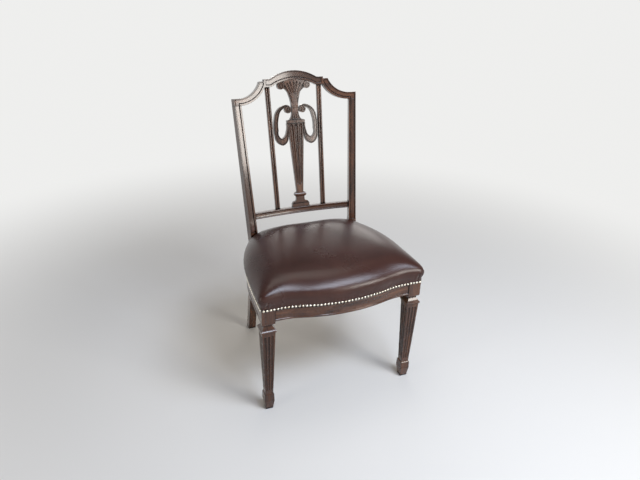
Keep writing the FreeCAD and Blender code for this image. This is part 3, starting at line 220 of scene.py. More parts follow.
def make_world():
    world = bpy.data.worlds.new("studio")
    bpy.context.scene.world = world
    world.use_nodes = True
    tree = world.node_tree
    output = tree.nodes["World Output"]
    lit = tree.nodes["Background"]
    lit.inputs["Color"].default_value = (1.0, 0.96, 0.91, 1.0)
    lit.inputs["Strength"].default_value = WORLD_LIGHT
    shown = tree.nodes.new("ShaderNodeBackground")
    shown.inputs["Strength"].default_value = 1.0
    coords = tree.nodes.new("ShaderNodeTexCoord")
    parts = tree.nodes.new("ShaderNodeSeparateXYZ")
    tree.links.new(coords.outputs["Generated"], parts.inputs[0])
    height = ramp(tree, parts.outputs["Z"], ((BACKDROP_UP_TO, BACKDROP), (CEILING_FROM, CEILING)))
    tree.links.new(height, shown.inputs["Color"])
    mix = tree.nodes.new("ShaderNodeMixShader")
    tree.links.new(seen_directly(tree), mix.inputs["Fac"])
    tree.links.new(lit.outputs["Background"], mix.inputs[1])
    tree.links.new(shown.outputs["Background"], mix.inputs[2])
    tree.links.new(mix.outputs["Shader"], output.inputs["Surface"])


def floor_material():
    """Pale floor that keeps the chair's shadow and fades into the backdrop."""
    material, tree, shader = node_tree("pale_floor")
    shader.inputs["Base Color"].default_value = (0.76, 0.75, 0.735, 1.0)
    shader.inputs["Roughness"].default_value = 0.7
    shader.inputs["Specular IOR Level"].default_value = 0.2
    glow = tree.nodes.new("ShaderNodeEmission")
    glow.inputs["Color"].default_value = (*BACKDROP, 1.0)
    coords = tree.nodes.new("ShaderNodeTexCoord")
    length = tree.nodes.new("ShaderNodeVectorMath")
    length.operation = "LENGTH"
    tree.links.new(coords.outputs["Object"], length.inputs[0])
    fade = tree.nodes.new("ShaderNodeMapRange")
    fade.interpolation_type = "SMOOTHSTEP"
    fade.inputs["From Min"].default_value, fade.inputs["From Max"].default_value = FLOOR_FADE
    tree.links.new(length.outputs["Value"], fade.inputs["Value"])
    share = tree.nodes.new("ShaderNodeMath")
    share.operation = "MULTIPLY"
    tree.links.new(fade.outputs["Result"], share.inputs[0])
    tree.links.new(seen_directly(tree), share.inputs[1])
    mix = tree.nodes.new("ShaderNodeMixShader")
    tree.links.new(share.outputs[0], mix.inputs["Fac"])
    tree.links.new(shader.outputs["BSDF"], mix.inputs[1])
    tree.links.new(glow.outputs["Emission"], mix.inputs[2])
    tree.links.new(mix.outputs["Shader"], tree.nodes["Material Output"].inputs["Surface"])
    return material


def area_light(name, place, target, size, power, colour):
    data = bpy.data.lights.new(name, "AREA")
    data.shape = "RECTANGLE"
    data.size, data.size_y = size
    data.energy = power
    data.color = colour
    lamp = bpy.data.objects.new(name, data)
    bpy.context.scene.collection.objects.link(lamp)
    lamp.location = place
    aim = Vector(target) - Vector(place)
    lamp.rotation_euler = aim.to_track_quat("-Z", "Y").to_euler()


def make_stage():
    make_world()
    for lamp in LAMPS:
        area_light(*lamp)
    bpy.ops.mesh.primitive_circle_add(vertices=96, radius=30.0, fill_type="NGON")
    floor = bpy.context.object
    floor.name = "floor"
    floor.data.materials.append(floor_material())
    bpy.context.scene.view_settings.view_transform = "Standard"


make_stage()


# Materials
def object_coords(tree, scale):
    coords = tree.nodes.new("ShaderNodeTexCoord")
    mapping = tree.nodes.new("ShaderNodeMapping")
    mapping.inputs["Scale"].default_value = scale
    tree.links.new(coords.outputs["Object"], mapping.inputs["Vector"])
    return mapping.outputs["Vector"]


def noise(tree, vector, scale, detail, roughness, distortion=0.0):
    made = tree.nodes.new("ShaderNodeTexNoise")
    made.inputs["Scale"].default_value = scale
    made.inputs["Detail"].default_value = detail
    made.inputs["Roughness"].default_value = roughness
    made.inputs["Distortion"].default_value = distortion
    tree.links.new(vector, made.inputs["Vector"])
    return made.outputs["Fac"]


def spread(tree, value, low, high):
    made = tree.nodes.new("ShaderNodeMapRange")
    made.inputs["To Min"].default_value = low
    made.inputs["To Max"].default_value = high
    tree.links.new(value, made.inputs["Value"])
    return made.outputs["Result"]


def mixed(tree, share, first, second, blend="MIX"):
    made = tree.nodes.new("ShaderNodeMix")
    made.data_type = "RGBA"
    made.blend_type = blend
    if isinstance(share, float):
        made.inputs["Factor"].default_value = share
    else:
        tree.links.new(share, made.inputs["Factor"])
    for socket, value in ((made.inputs[6], first), (made.inputs[7], second)):
        if isinstance(value, tuple):
            socket.default_value = (*value, 1.0)
        else:
            tree.links.new(value, socket)
    return made.outputs[2]


def bump(tree, shader, height, strength, distance):
    made = tree.nodes.new("ShaderNodeBump")
    made.inputs["Strength"].default_value = strength
    made.inputs["Distance"].default_value = distance
    tree.links.new(height, made.inputs["Height"])
    tree.links.new(made.outputs["Normal"], shader.inputs["Normal"])


def painted_crevice_shade(tree, reach, low, high):
    """Painted shade: dark in grooves and recesses, where ambient occlusion finds them, white on open faces.
    """
    found = tree.nodes.new("ShaderNodeAmbientOcclusion")
    found.samples = 24
    found.inputs["Distance"].default_value = reach
    return ramp(tree, found.outputs["AO"], ((low, (0.03, 0.025, 0.025)), (high, (1.0, 1.0, 1.0))))


def painted_arris_mask(tree, reach):
    """Share of the painted tone along the arrises, broken up in patches: painted shade on mahogany, lighter
    wear and painted highlight on beech.
    """
    found = tree.nodes.new("ShaderNodeAmbientOcclusion")
    found.samples = 8
    found.inside = True
    found.inputs["Distance"].default_value = reach
    edges = ramp(tree, found.outputs["AO"], ((0.45, (0.9, 0.9, 0.9)), (0.85, (0.0, 0.0, 0.0))))
    patches = noise(tree, object_coords(tree, (1.0, 1.0, 1.0)), 30.0, 3.0, 0.6)
    made = tree.nodes.new("ShaderNodeMath")
    made.operation = "MULTIPLY"
    tree.links.new(edges, made.inputs[0])
    tree.links.new(spread(tree, patches, 0.6, 1.0), made.inputs[1])
    return made.outputs[0]


def wood(name, along, dark, middle, light, painted_arris_tone, polish, coat):
    """Figured wood whose grain runs along one axis, with painted shade in its grooves and a painted tone
    along its arrises.
    """
    material, tree, shader = node_tree(name)
    stretch = [7.0, 7.0, 7.0]
    stretch["xyz".index(along)] = 0.55
    grain_space = object_coords(tree, stretch)
    figure = noise(tree, grain_space, 5.0, 6.0, 0.6, 1.4)
    colour = ramp(tree, figure, ((0.28, dark), (0.5, middle), (0.74, light)))
    pores_stretch = [90.0, 90.0, 90.0]
    pores_stretch["xyz".index(along)] = 3.0
    pores = noise(tree, object_coords(tree, pores_stretch), 8.0, 2.0, 0.5)
    pore_mask = ramp(tree, pores, ((0.36, (0.45, 0.45, 0.45)), (0.48, (1.0, 1.0, 1.0))))
    colour = mixed(tree, 0.55, colour, pore_mask, "MULTIPLY")
    # Painted shade: the colour is darkened in grooves and recesses
    painted_crevice_share = painted_crevice_shade(tree, PAINTED_CREVICE_REACH, 0.68, 0.95)
    edges = painted_arris_mask(tree, PAINTED_ARRIS_REACH)
    # Painted shade along the mahogany's arrises, as dark outlines; the beech's arrises are painted lighter,
    # partly wear and partly highlight
    colour = mixed(tree, edges, colour, painted_arris_tone)
    colour = mixed(tree, 1.0, colour, painted_crevice_share, "MULTIPLY")
    tree.links.new(colour, shader.inputs["Base Color"])
    wear = noise(tree, object_coords(tree, (9.0, 9.0, 9.0)), 3.0, 3.0, 0.55)
    rough_low, rough_high = polish
    tree.links.new(spread(tree, wear, rough_low, rough_high), shader.inputs["Roughness"])
    shader.inputs["Specular IOR Level"].default_value = 0.16
    # Painted shade: the coat is taken off grooves and arrises, so no reflection lightens them
    gloss = mixed(tree, edges, painted_crevice_share, (0.1, 0.1, 0.1))
    gloss = mixed(tree, 1.0, gloss, (coat, coat, coat), "MULTIPLY")
    tree.links.new(gloss, shader.inputs["Coat Weight"])
    shader.inputs["Coat Roughness"].default_value = 0.13
    bump(tree, shader, pores, 0.18, 0.0002)
    return material


# Dark, middle and light tones of the figure, then the painted tone of the arrises: painted shade on
# mahogany, lighter wear and painted highlight on beech
MAHOGANY = ((0.022, 0.0066, 0.0030), (0.070, 0.0235, 0.0095), (0.155, 0.059, 0.024), (0.009, 0.0035, 0.0025))
BEECH = ((0.25, 0.14, 0.07), (0.36, 0.22, 0.12), (0.46, 0.30, 0.17), (0.5, 0.33, 0.2))
mahogany = {axis: wood("mahogany_" + axis, axis, *MAHOGANY, (0.2, 0.34), 0.95) for axis in "xyz"}
beech = wood("beech", "x", *BEECH, (0.5, 0.65), 0.0)


def leather():
    material, tree, shader = node_tree("burgundy_leather")
    space = object_coords(tree, (1.0, 1.0, 1.0))
    mottle = noise(tree, space, 9.0, 5.0, 0.55, 0.3)
    shades = (
        (0.3, (0.029, 0.0080, 0.0050)),
        (0.55, (0.043, 0.0125, 0.0080)),
        (0.75, (0.058, 0.0185, 0.0122)),
    )
    colour = ramp(tree, mottle, shades)
    cells = tree.nodes.new("ShaderNodeTexVoronoi")
    cells.feature = "DISTANCE_TO_EDGE"
    cells.inputs["Scale"].default_value = 780.0
    tree.links.new(space, cells.inputs["Vector"])
    # Painted shade: the colour is darkened along the creases of the grain
    painted_crease_shade = ramp(tree, cells.outputs["Distance"], ((0.0, (0.55, 0.55, 0.55)), (0.12, (1.0, 1.0, 1.0))))
    colour = mixed(tree, 0.2, colour, painted_crease_shade, "MULTIPLY")
    tree.links.new(colour, shader.inputs["Base Color"])
    rub = noise(tree, space, 5.0, 4.0, 0.6)
    tree.links.new(spread(tree, rub, 0.24, 0.32), shader.inputs["Roughness"])
    shader.inputs["Specular IOR Level"].default_value = 0.42
    pebble = tree.nodes.new("ShaderNodeMath")
    pebble.operation = "ADD"
    tree.links.new(spread(tree, cells.outputs["Distance"], 0.0, 4.0), pebble.inputs[0])
    tree.links.new(noise(tree, space, 260.0, 3.0, 0.6), pebble.inputs[1])
    bump(tree, shader, pebble.outputs[0], 0.12, 0.0002)
    return material


def metal(name, colour, rough_low, rough_high, tarnish):
    material, tree, shader = node_tree(name)
    space = object_coords(tree, (1.0, 1.0, 1.0))
    stain = noise(tree, space, 120.0, 3.0, 0.6)
    tree.links.new(ramp(tree, stain, ((0.3, tarnish), (0.55, colour))), shader.inputs["Base Color"])
    tree.links.new(spread(tree, stain, rough_high, rough_low), shader.inputs["Roughness"])
    shader.inputs["Metallic"].default_value = 1.0
    return material


def woven(name, warp, weft, fineness):
    """Plain weave, waves along both axes that are the narrower the larger the fineness."""
    material, tree, shader = node_tree(name)
    waves = []
    for direction in ("X", "Y"):
        made = tree.nodes.new("ShaderNodeTexWave")
        made.bands_direction = direction
        made.inputs["Scale"].default_value = fineness
        made.inputs["Distortion"].default_value = 0.6
        made.inputs["Detail"].default_value = 1.0
        tree.links.new(object_coords(tree, (1.0, 1.0, 1.0)), made.inputs["Vector"])
        waves.append(made.outputs["Fac"])
    height = tree.nodes.new("ShaderNodeMath")
    height.operation = "MAXIMUM"
    tree.links.new(waves[0], height.inputs[0])
    tree.links.new(waves[1], height.inputs[1])
    colour = mixed(tree, waves[0], warp, weft)
    fleck = noise(tree, object_coords(tree, (1.0, 1.0, 1.0)), 60.0, 4.0, 0.6)
    flecks = ramp(tree, fleck, ((0.3, (0.7, 0.7, 0.7)), (0.7, (1.0, 1.0, 1.0))))
    colour = mixed(tree, 0.5, colour, flecks, "MULTIPLY")
    tree.links.new(colour, shader.inputs["Base Color"])
    shader.inputs["Roughness"].default_value = 0.85
    bump(tree, shader, height.outputs[0], 0.6, 0.0006)
    return material


leather_skin = leather()
brass = metal("antique_brass", (0.93, 0.88, 0.77), 0.10, 0.24, (0.50, 0.43, 0.30))
steel = metal("plain_steel", (0.5, 0.5, 0.5), 0.35, 0.55, (0.34, 0.32, 0.3))
jute = woven("jute_webbing", (0.42, 0.33, 0.21), (0.52, 0.43, 0.30), 354.6243)
sacking = woven("hessian_cloth", (0.40, 0.30, 0.17), (0.50, 0.39, 0.24), 455.9455)
wadding = woven("stuffing_wadding", (0.55, 0.50, 0.42), (0.62, 0.58, 0.50), 151.9818)

GRAIN = {
    "front_leg_left": "z",
    "front_leg_right": "z",
    "rear_leg_left": "z",
    "rear_leg_right": "z",
    "back_post_left": "z",
    "back_post_right": "z",
    "splat": "z",
    "front_seat_rail": "x",
    "rear_seat_rail": "x",
    "crest_rail": "x",
    "lower_back_rail": "x",
    "side_seat_rail_left": "y",
    "side_seat_rail_right": "y",
}


def dress(piece, material):
    piece.data.materials.clear()
    piece.data.materials.append(material)


def soften(piece, width):
    """Joins split corners and eases the sharp edges of a carried-over piece."""
    weld = piece.modifiers.new("weld", "WELD")
    weld.merge_threshold = SAME_PLACE
    ease = piece.modifiers.new("ease", "BEVEL")
    ease.width = width
    ease.segments = 2
    ease.limit_method = "ANGLE"
    ease.angle_limit = math.radians(30.0)
    ease.harden_normals = False
    ease.use_clamp_overlap = True
    normals = piece.modifiers.new("normals", "WEIGHTED_NORMAL")
    normals.keep_sharp = True


for node_name, axis in GRAIN.items():
    dress(nodes[node_name], mahogany[axis])
    soften(nodes[node_name], 0.0006)
for node_name in nodes:
    if node_name.startswith("corner_block_") and node_name != "corner_block_screws":
        dress(nodes[node_name], beech)
        soften(nodes[node_name], 0.0008)
dress(nodes["corner_block_screws"], steel)


# Soft seat
def angle_of(value):
    return math.atan2(value.imag, value.real)


def arc_points(start, middle, end, count):
    """Points on the arc through three points, its start left out."""
    a, b, c = (complex(*point) for point in (start, middle, end))
    w = (c - a) / (b - a)
    centre = a + (b - a) * (w - abs(w) ** 2) / (2j * w.imag)
    turns = [angle_of((point - centre) / (a - centre)) for point in (b, c)]
    full = turns[1]
    if turns[0] * full < 0 or abs(turns[0]) > abs(full):
        full -= math.copysign(2 * math.pi, full)
    made = []
    for k in range(1, count + 1):
        turned = complex(math.cos(full * k / count), math.sin(full * k / count))
        place = centre + (a - centre) * turned
        made.append((place.real, place.imag))
    return made


def straight_points(start, end, count):
    """Points on the line between two points, its start left out."""
    first = np.array(start)
    way = np.array(end) - first
    return [tuple(first + way * k / count) for k in range(1, count + 1)]


def seat_half_outline():
    """Right half of the seat frame's outline, from the middle of the front to the rear corner."""
    concave_half = SERPENTINE_FLAT_FROM - SERPENTINE_CONVEX_HALF
    rise = SERPENTINE_BOW * concave_half / SERPENTINE_FLAT_FROM
    radius = (concave_half ** 2 + rise ** 2) / (2 * rise)
    tip = (0.0, BLOCK_FRONT_Y - SERPENTINE_BOW)
    knee = (SERPENTINE_CONVEX_HALF, BLOCK_FRONT_Y - rise)
    turn = math.asin(concave_half / radius) / 2
    middle_x = SERPENTINE_FLAT_FROM - radius * math.sin(turn)
    middle = (middle_x, BLOCK_FRONT_Y - radius + radius * math.cos(turn))
    flat = (SERPENTINE_FLAT_FROM, BLOCK_FRONT_Y)
    corner_in = (BLOCK_OUTER_X - CORNER_RADIUS, BLOCK_FRONT_Y)
    corner_mid = (BLOCK_OUTER_X - CORNER_RADIUS * CORNER_CUT, BLOCK_FRONT_Y + CORNER_RADIUS * CORNER_CUT)
    corner_out = (BLOCK_OUTER_X, BLOCK_FRONT_Y + CORNER_RADIUS)
    side_front = (SIDE_FRONT_X, BLOCK_REAR_Y)
    between = ((SIDE_FRONT_X + SIDE_SHOULDER[0]) / 2 + 0.9, (BLOCK_REAR_Y + SIDE_SHOULDER[1]) / 2)
    points = [tip]
    points += arc_points((-knee[0], knee[1]), tip, knee, 40)[20:]
    points += arc_points(knee, middle, flat, 10)
    points += straight_points(flat, corner_in, 8)
    points += arc_points(corner_in, corner_mid, corner_out, 6)
    points += straight_points(corner_out, side_front, 5)
    points += arc_points(side_front, between, SIDE_SHOULDER, 20)
    points += arc_points(SIDE_SHOULDER, SIDE_CURVE, SIDE_REAR, 32)
    return np.array(points)


def ring(front_out, side_out, filled):
    """Closed ring of points round the seat, moved outward, the hollows of its front partly filled."""
    half = seat_half_outline()
    front = half[:, 1] < BLOCK_FRONT_Y + 0.5
    bowed = BLOCK_FRONT_Y - SERPENTINE_BOW * (1.0 - (half[:, 0] / (BLOCK_OUTER_X - CORNER_RADIUS)) ** 2)
    half[front, 1] += (bowed[front] - half[front, 1]) * filled
    ahead = np.vstack([half[1:], half[-1:] + (half[-1:] - half[-2:-1])])
    behind = np.vstack([half[1:2] * (-1, 1), half[:-1]])
    along = ahead - behind
    along /= np.linalg.norm(along, axis=1)[:, None]
    outward = np.stack([along[:, 1], -along[:, 0]], axis=1)
    block_span = BLOCK_OUTER_X - SERPENTINE_FLAT_FROM - 2.0
    share = np.clip((half[:, 0] - SERPENTINE_FLAT_FROM) / block_span, 0.0, 1.0)
    share[half[:, 1] > BLOCK_FRONT_Y + 1.0] = 1.0
    out = front_out + (side_out - front_out) * share
    right = half + outward * out[:, None]
    rear = straight_points(tuple(right[-1]), (right[-1][0] - 4.0, SEAT_REAR_Y), 6)
    rear += straight_points((right[-1][0] - 4.0, SEAT_REAR_Y), (0.0, SEAT_REAR_Y), 26)
    right = np.vstack([right, np.array(rear)])
    left = right[1:-1][::-1] * (-1, 1)
    return np.vstack([right, left])


# Height, outset of front and sides, scale, the place behind the front legs that it shrinks towards,
# and how far the front's hollows are filled
SEAT_LEVELS = (
    (381.2, 1.5, 1.5, 1.0, 170.0, 0.0),
    (385.0, 1.5, 1.5, 1.0, 170.0, 0.0),
    (389.0, 1.5, 1.5, 1.0, 170.0, 0.0),
    (394.0, 1.6, 1.9, 1.0, 170.0, 0.0),
    (399.0, 1.9, 3.2, 1.0, 175.0, 0.02),
    (404.0, 2.9, 5.6, 1.0, 180.0, 0.06),
    (410.0, 4.3, 8.6, 1.0, 185.0, 0.12),
    (417.0, 5.3, 11.0, 1.0, 190.0, 0.20),
    (424.0, 5.6, 11.8, 0.998, 190.0, 0.30),
    (431.0, 5.6, 11.8, 0.988, 190.0, 0.40),
    (438.0, 5.6, 11.8, 0.970, 192.0, 0.50),
    (446.0, 5.6, 11.8, 0.938, 202.0, 0.60),
    (454.0, 5.6, 11.8, 0.894, 215.0, 0.70),
    (462.0, 5.6, 11.8, 0.836, 234.0, 0.80),
    (470.0, 5.6, 11.8, 0.750, 255.0, 0.90),
    (476.5, 5.6, 11.8, 0.620, 276.0, 1.0),
    (480.5, 5.6, 11.8, 0.440, 295.0, 1.0),
    (482.6, 5.6, 11.8, 0.220, 300.0, 1.0),
    (483.2, 5.6, 11.8, 0.080, 300.0, 1.0),
)


def finer_levels(steps):
    """The seat's levels with more between them, on a smooth curve through all."""
    rows = np.array(SEAT_LEVELS)
    rows = np.vstack([2 * rows[0] - rows[1], rows, 2 * rows[-1] - rows[-2]])
    made = []
    for a, b, c, d in zip(rows, rows[1:], rows[2:], rows[3:]):
        for t in np.arange(steps) / steps:
            square = (2 * a - 5 * b + 4 * c - d) * t ** 2
            cube = (3 * b - a - 3 * c + d) * t ** 3
            made.append(0.5 * (2 * b + (c - a) * t + square + cube))
    made.append(rows[-2])
    return made


def new_piece(name, mesh, material):
    data = bpy.data.meshes.new(name)
    mesh.to_mesh(data)
    mesh.free()
    piece = bpy.data.objects.new(name, data)
    bpy.context.scene.collection.objects.link(piece)
    data.materials.append(material)
    for face in data.polygons:
        face.use_smooth = True
    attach(piece, "root")
    return piece


def rounder(points, reach):
    """A ring with its corners eased over about this many points."""
    if reach < 0.5:
        return points
    span = int(reach * 3)
    weights = np.exp(-0.5 * (np.arange(-span, span + 1) / reach) ** 2)
    weights /= weights.sum()
    shifts = range(-span, span + 1)
    eased = sum(weight * np.roll(points, shift, axis=0) for weight, shift in zip(weights, shifts))
    middle = points.mean(axis=0)
    size = np.abs(points - middle).max(axis=0) / np.abs(eased - middle).max(axis=0)
    return middle + (eased - middle) * size


def seat_body():
    """Closed crowned form of the whole seat, before the rear legs are let in."""
    mesh = bmesh.new()
    rows = []
    for z, front_out, side_out, scale, centre, filled in finer_levels(3):
        points = rounder(ring(front_out, side_out, filled), max(0.0, z - ROUNDING_FROM_Z) * ROUNDING_RATE)
        middle = np.array((0.0, FRONT_LEG_Y + centre))
        points = middle + (points - middle) * scale
        rows.append([mesh.verts.new((x * MM, y * MM, z * MM)) for x, y in points])
    count = len(rows[0])
    for low, high in zip(rows, rows[1:]):
        for k in range(count):
            after = (k + 1) % count
            mesh.faces.new((low[k], low[after], high[after], high[k]))
    mesh.faces.new(rows[0][::-1])
    mesh.faces.new(rows[-1])
    bmesh.ops.recalc_face_normals(mesh, faces=mesh.faces)
    return mesh


def leg_room(side, gap):
    """Room that a rear leg takes out of the seat."""
    lean = (math.sin(BACK_RAKE), math.cos(BACK_RAKE))
    foot_z = 370.0
    rear_y = LEG_FRONT_Y + 150.0
    profile = [
        (LEG_FRONT_Y - gap, foot_z),
        (LEG_FRONT_Y - gap, KNEE_START_Z),
        (KNEE_END[0] - gap, KNEE_END[1]),
        (KNEE_END[0] + lean[0] * 120.0 - gap, KNEE_END[1] + lean[1] * 120.0),
        (rear_y, KNEE_END[1] + 100.0),
        (rear_y, foot_z),
    ]
    mesh = bmesh.new()
    ends = []
    for x in (side * (LEG_INNER_X - gap), side * 300.0):
        ends.append([mesh.verts.new((x * MM, y * MM, z * MM)) for y, z in profile])
    for k in range(len(profile)):
        after = (k + 1) % len(profile)
        mesh.faces.new((ends[0][k], ends[0][after], ends[1][after], ends[1][k]))
    mesh.faces.new(ends[0])
    mesh.faces.new(ends[1][::-1])
    bmesh.ops.recalc_face_normals(mesh, faces=mesh.faces)
    data = bpy.data.meshes.new("room")
    mesh.to_mesh(data)
    mesh.free()
    room = bpy.data.objects.new("room", data)
    bpy.context.scene.collection.objects.link(room)
    return room


def applied(piece):
    """Puts what the modifiers make of a piece in place of its mesh."""
    graph = bpy.context.evaluated_depsgraph_get()
    made = bpy.data.meshes.new_from_object(piece.evaluated_get(graph))
    piece.modifiers.clear()
    old = piece.data
    piece.data = made
    bpy.data.meshes.remove(old)


def points_of(piece):
    flat = np.empty(len(piece.data.vertices) * 3)
    piece.data.vertices.foreach_get("co", flat)
    return flat.reshape(-1, 3)


def put_points(piece, points):
    piece.data.vertices.foreach_set("co", points.ravel())
    piece.data.update()


def neighbour_mean(piece):
    """Function that averages a value over every point's neighbours."""
    edges = np.empty(len(piece.data.edges) * 2, dtype=np.int64)
    piece.data.edges.foreach_get("vertices", edges)
    edges = edges.reshape(-1, 2)
    count = np.maximum(np.bincount(edges.ravel(), minlength=len(piece.data.vertices))[:, None], 1)

    def mean(values):
        total = np.zeros_like(values)
        np.add.at(total, edges[:, 0], values[edges[:, 1]])
        np.add.at(total, edges[:, 1], values[edges[:, 0]])
        return total / count

    return mean


def smoothed(piece, rounds, held):
    """Evens the surface without shrinking it: every draw to the neighbours is followed by one back."""
    mean = neighbour_mean(piece)
    points = points_of(piece)
    for _ in range(rounds):
        for factor in DRAW_AND_RELEASE:
            moved = points + (mean(points) - points) * factor
            points = np.where(held[:, None], points, moved)
    put_points(piece, points)


def inflated(piece, held, pressure, frames, cap):
    """Lets inner pressure swell a piece, no point moving further than the cap, and evens the swell."""
    start = points_of(piece)
    mean = neighbour_mean(piece)
    group = piece.vertex_groups.new(name="held")
    group.add([int(index) for index in np.nonzero(held)[0]], 1.0, "REPLACE")
    cloth = piece.modifiers.new("cloth", "CLOTH")
    settings = cloth.settings
    settings.quality = 5
    settings.mass = 0.3
    settings.tension_stiffness = 15.0
    settings.compression_stiffness = 15.0
    settings.shear_stiffness = 5.0
    settings.bending_stiffness = 5.0
    settings.vertex_group_mass = "held"
    settings.use_pressure = True
    settings.uniform_pressure_force = pressure
    settings.effector_weights.gravity = 0.0
    cloth.collision_settings.use_collision = False
    cloth.point_cache.frame_start = 1
    cloth.point_cache.frame_end = frames
    scene = bpy.context.scene
    for frame_number in range(1, frames + 1):
        scene.frame_set(frame_number)
    applied(piece)
    shift = points_of(piece) - start
    length = np.linalg.norm(shift, axis=1)[:, None]
    shift *= np.minimum(1.0, cap / np.maximum(length, 1e-9))
    for _ in range(SWELL_ROUNDS):
        shift = np.where(held[:, None], 0.0, mean(shift))
    put_points(piece, start + shift)
    piece.vertex_groups.clear()
    scene.frame_set(1)


def made_seat():
    mesh = seat_body()
    skin = new_piece("leather_seat", mesh, leather_skin)
    rooms = [leg_room(side, LEG_GAP_MM) for side in (-1, 1)]
    for room in rooms:
        cut = skin.modifiers.new("cut", "BOOLEAN")
        cut.operation = "DIFFERENCE"
        cut.solver = "EXACT"
        cut.object = room
    even = skin.modifiers.new("even", "REMESH")
    even.mode = "VOXEL"
    even.voxel_size = VOXEL
    applied(skin)
    for room in rooms:
        bpy.data.objects.remove(room)
    points = points_of(skin)
    held = points[:, 2] < HELD_BELOW
    smoothed(skin, ROUNDS_BEFORE, held)
    inflated(skin, held, PRESSURE, SWELL_FRAMES, SWELL_CAP)
    smoothed(skin, ROUNDS_AFTER, held)
    return skin


def stuffing_under(skin):
    """Stuffing that fills the leather, flat where it meets the hessian."""
    data = skin.data.copy()
    data.materials.clear()
    piece = bpy.data.objects.new("seat_stuffing", data)
    bpy.context.scene.collection.objects.link(piece)
    data.materials.append(wadding)
    normals = np.empty(len(data.vertices) * 3)
    data.vertices.foreach_get("normal", normals)
    points = points_of(piece) - normals.reshape(-1, 3) * STUFFING_INSET
    points[:, 2] = np.maximum(points[:, 2], STUFFING_FOOT_Z)
    put_points(piece, points)
    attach(piece, "root")
    return piece


def leather_only(skin):
    """Opens the underside and gives the leather its thickness."""
    mesh = bmesh.new()
    mesh.from_mesh(skin.data)
    gone = []
    for face in mesh.faces:
        middle = face.calc_center_median()
        under = middle.z < OPEN_BELOW_Z and face.normal.z < -0.6
        inner = abs(middle.x) > NOTCH_FROM[0] and middle.y > NOTCH_FROM[1]
        upright = middle.z < NOTCH_TOP_Z and abs(face.normal.z) < 0.7
        beside = inner and upright and (abs(middle.x) < NOTCH_EDGE[0] or middle.y < NOTCH_EDGE[1])
        if under or beside:
            gone.append(face)
    bmesh.ops.delete(mesh, geom=gone, context="FACES")
    mesh.to_mesh(skin.data)
    mesh.free()
    for face in skin.data.polygons:
        face.use_smooth = True
    skin.modifiers.clear()
    finer = skin.modifiers.new("finer", "SUBSURF")
    finer.levels = 1
    finer.render_levels = 1
    applied(skin)
    creased(skin)
    thick = skin.modifiers.new("thick", "SOLIDIFY")
    thick.thickness = LEATHER_THICK
    thick.offset = -1.0
    applied(skin)


def creased(skin):
    """Puckers between the nails and the folded pleats at the front corners."""
    points = points_of(skin)
    normals = np.empty(len(skin.data.vertices) * 3)
    skin.data.vertices.foreach_get("normal", normals)
    normals = normals.reshape(-1, 3)
    x, y, z = points.T / MM
    run = np.where(np.abs(normals[:, 1]) > np.abs(normals[:, 0]), x, y)
    low = np.exp(-((z - 394.0) / 6.0) ** 2)
    pucker = 0.35 * low * np.cos(run * 2 * math.pi / NAIL_PITCH)
    pulled = -0.5 * np.exp(-((z - NAIL_LINE_Z) / 3.0) ** 2)
    pleat = np.zeros_like(x)
    front = (y < BLOCK_FRONT_Y + 20.0) & (normals[:, 1] < -0.3)
    for centre, depth, width in PLEATS:
        lean = centre - 0.10 * (z - NAIL_LINE_Z)
        fade = np.clip((426.0 - z) / 14.0, 0.0, 1.0) * np.clip((z - 380.0) / 6.0, 0.0, 1.0)
        pleat += depth * np.exp(-((np.abs(x) - lean) / width) ** 2) * fade
    points += normals * ((pucker + pulled + np.where(front, pleat, 0.0)) * MM)[:, None]
    put_points(skin, points)


seat_skin = made_seat()
seat_stuffing = stuffing_under(seat_skin)
leather_only(seat_skin)
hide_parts("seat_cover")
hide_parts("seat_padding")


# Nail heads and webbing
def separate_parts(node):
    """Corners of each loose part of a node, in the frame's metres."""
    mesh = bmesh.new()
    mesh.from_mesh(node.data)
    mesh.transform(node.matrix_world)
    bmesh.ops.remove_doubles(mesh, verts=mesh.verts, dist=SAME_PLACE)
    seen = set()
    parts = []
    for first in mesh.verts:
        if first in seen:
            continue
        seen.add(first)
        waiting = [first]
        part = []
        while waiting:
            corner = waiting.pop()
            part.append(corner.co.copy())
            for edge in corner.link_edges:
                other = edge.other_vert(corner)
                if other not in seen:
                    seen.add(other)
                    waiting.append(other)
        parts.append(part)
    mesh.free()
    return parts


def nail_heads(node_name):
    """Domed heads on the places of a node's nails, each a little out of true."""
    chance = np.random.default_rng(7)
    mesh = bmesh.new()
    for part in separate_parts(nodes[node_name]):
        middle = sum(part, Vector()) / len(part)
        part.sort(key=lambda point: -(point - middle).length)
        half = len(part) // 2
        foot = sum(part[:half], Vector()) / half
        tip = sum(part[half:], Vector()) / (len(part) - half)
        outward = (tip - foot).normalized()
        lean = Vector(chance.normal(0.0, 0.05, 3))
        turn = (outward + lean).normalized().to_track_quat("Z", "Y").to_matrix()
        rows = []
        for radius, rise in NAIL_PROFILE:
            row = []
            for step in range(NAIL_SIDES):
                angle = 2 * math.pi * step / NAIL_SIDES
                local = Vector((radius * math.cos(angle), radius * math.sin(angle), rise)) * MM
                row.append(mesh.verts.new(foot + turn @ local))
            rows.append(row)
        top = mesh.verts.new(foot + turn @ Vector((0.0, 0.0, NAIL_TIP * MM)))
        for low, high in zip(rows, rows[1:]):
            for step in range(NAIL_SIDES):
                after = (step + 1) % NAIL_SIDES
                mesh.faces.new((low[step], low[after], high[after], high[step]))
        for step in range(NAIL_SIDES):
            mesh.faces.new((rows[-1][step], rows[-1][(step + 1) % NAIL_SIDES], top))
        mesh.faces.new(rows[0][::-1])
    name = node_name.replace("seat_nails", "nail_heads")
    piece = new_piece(name, mesh, brass)
    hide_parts(node_name)


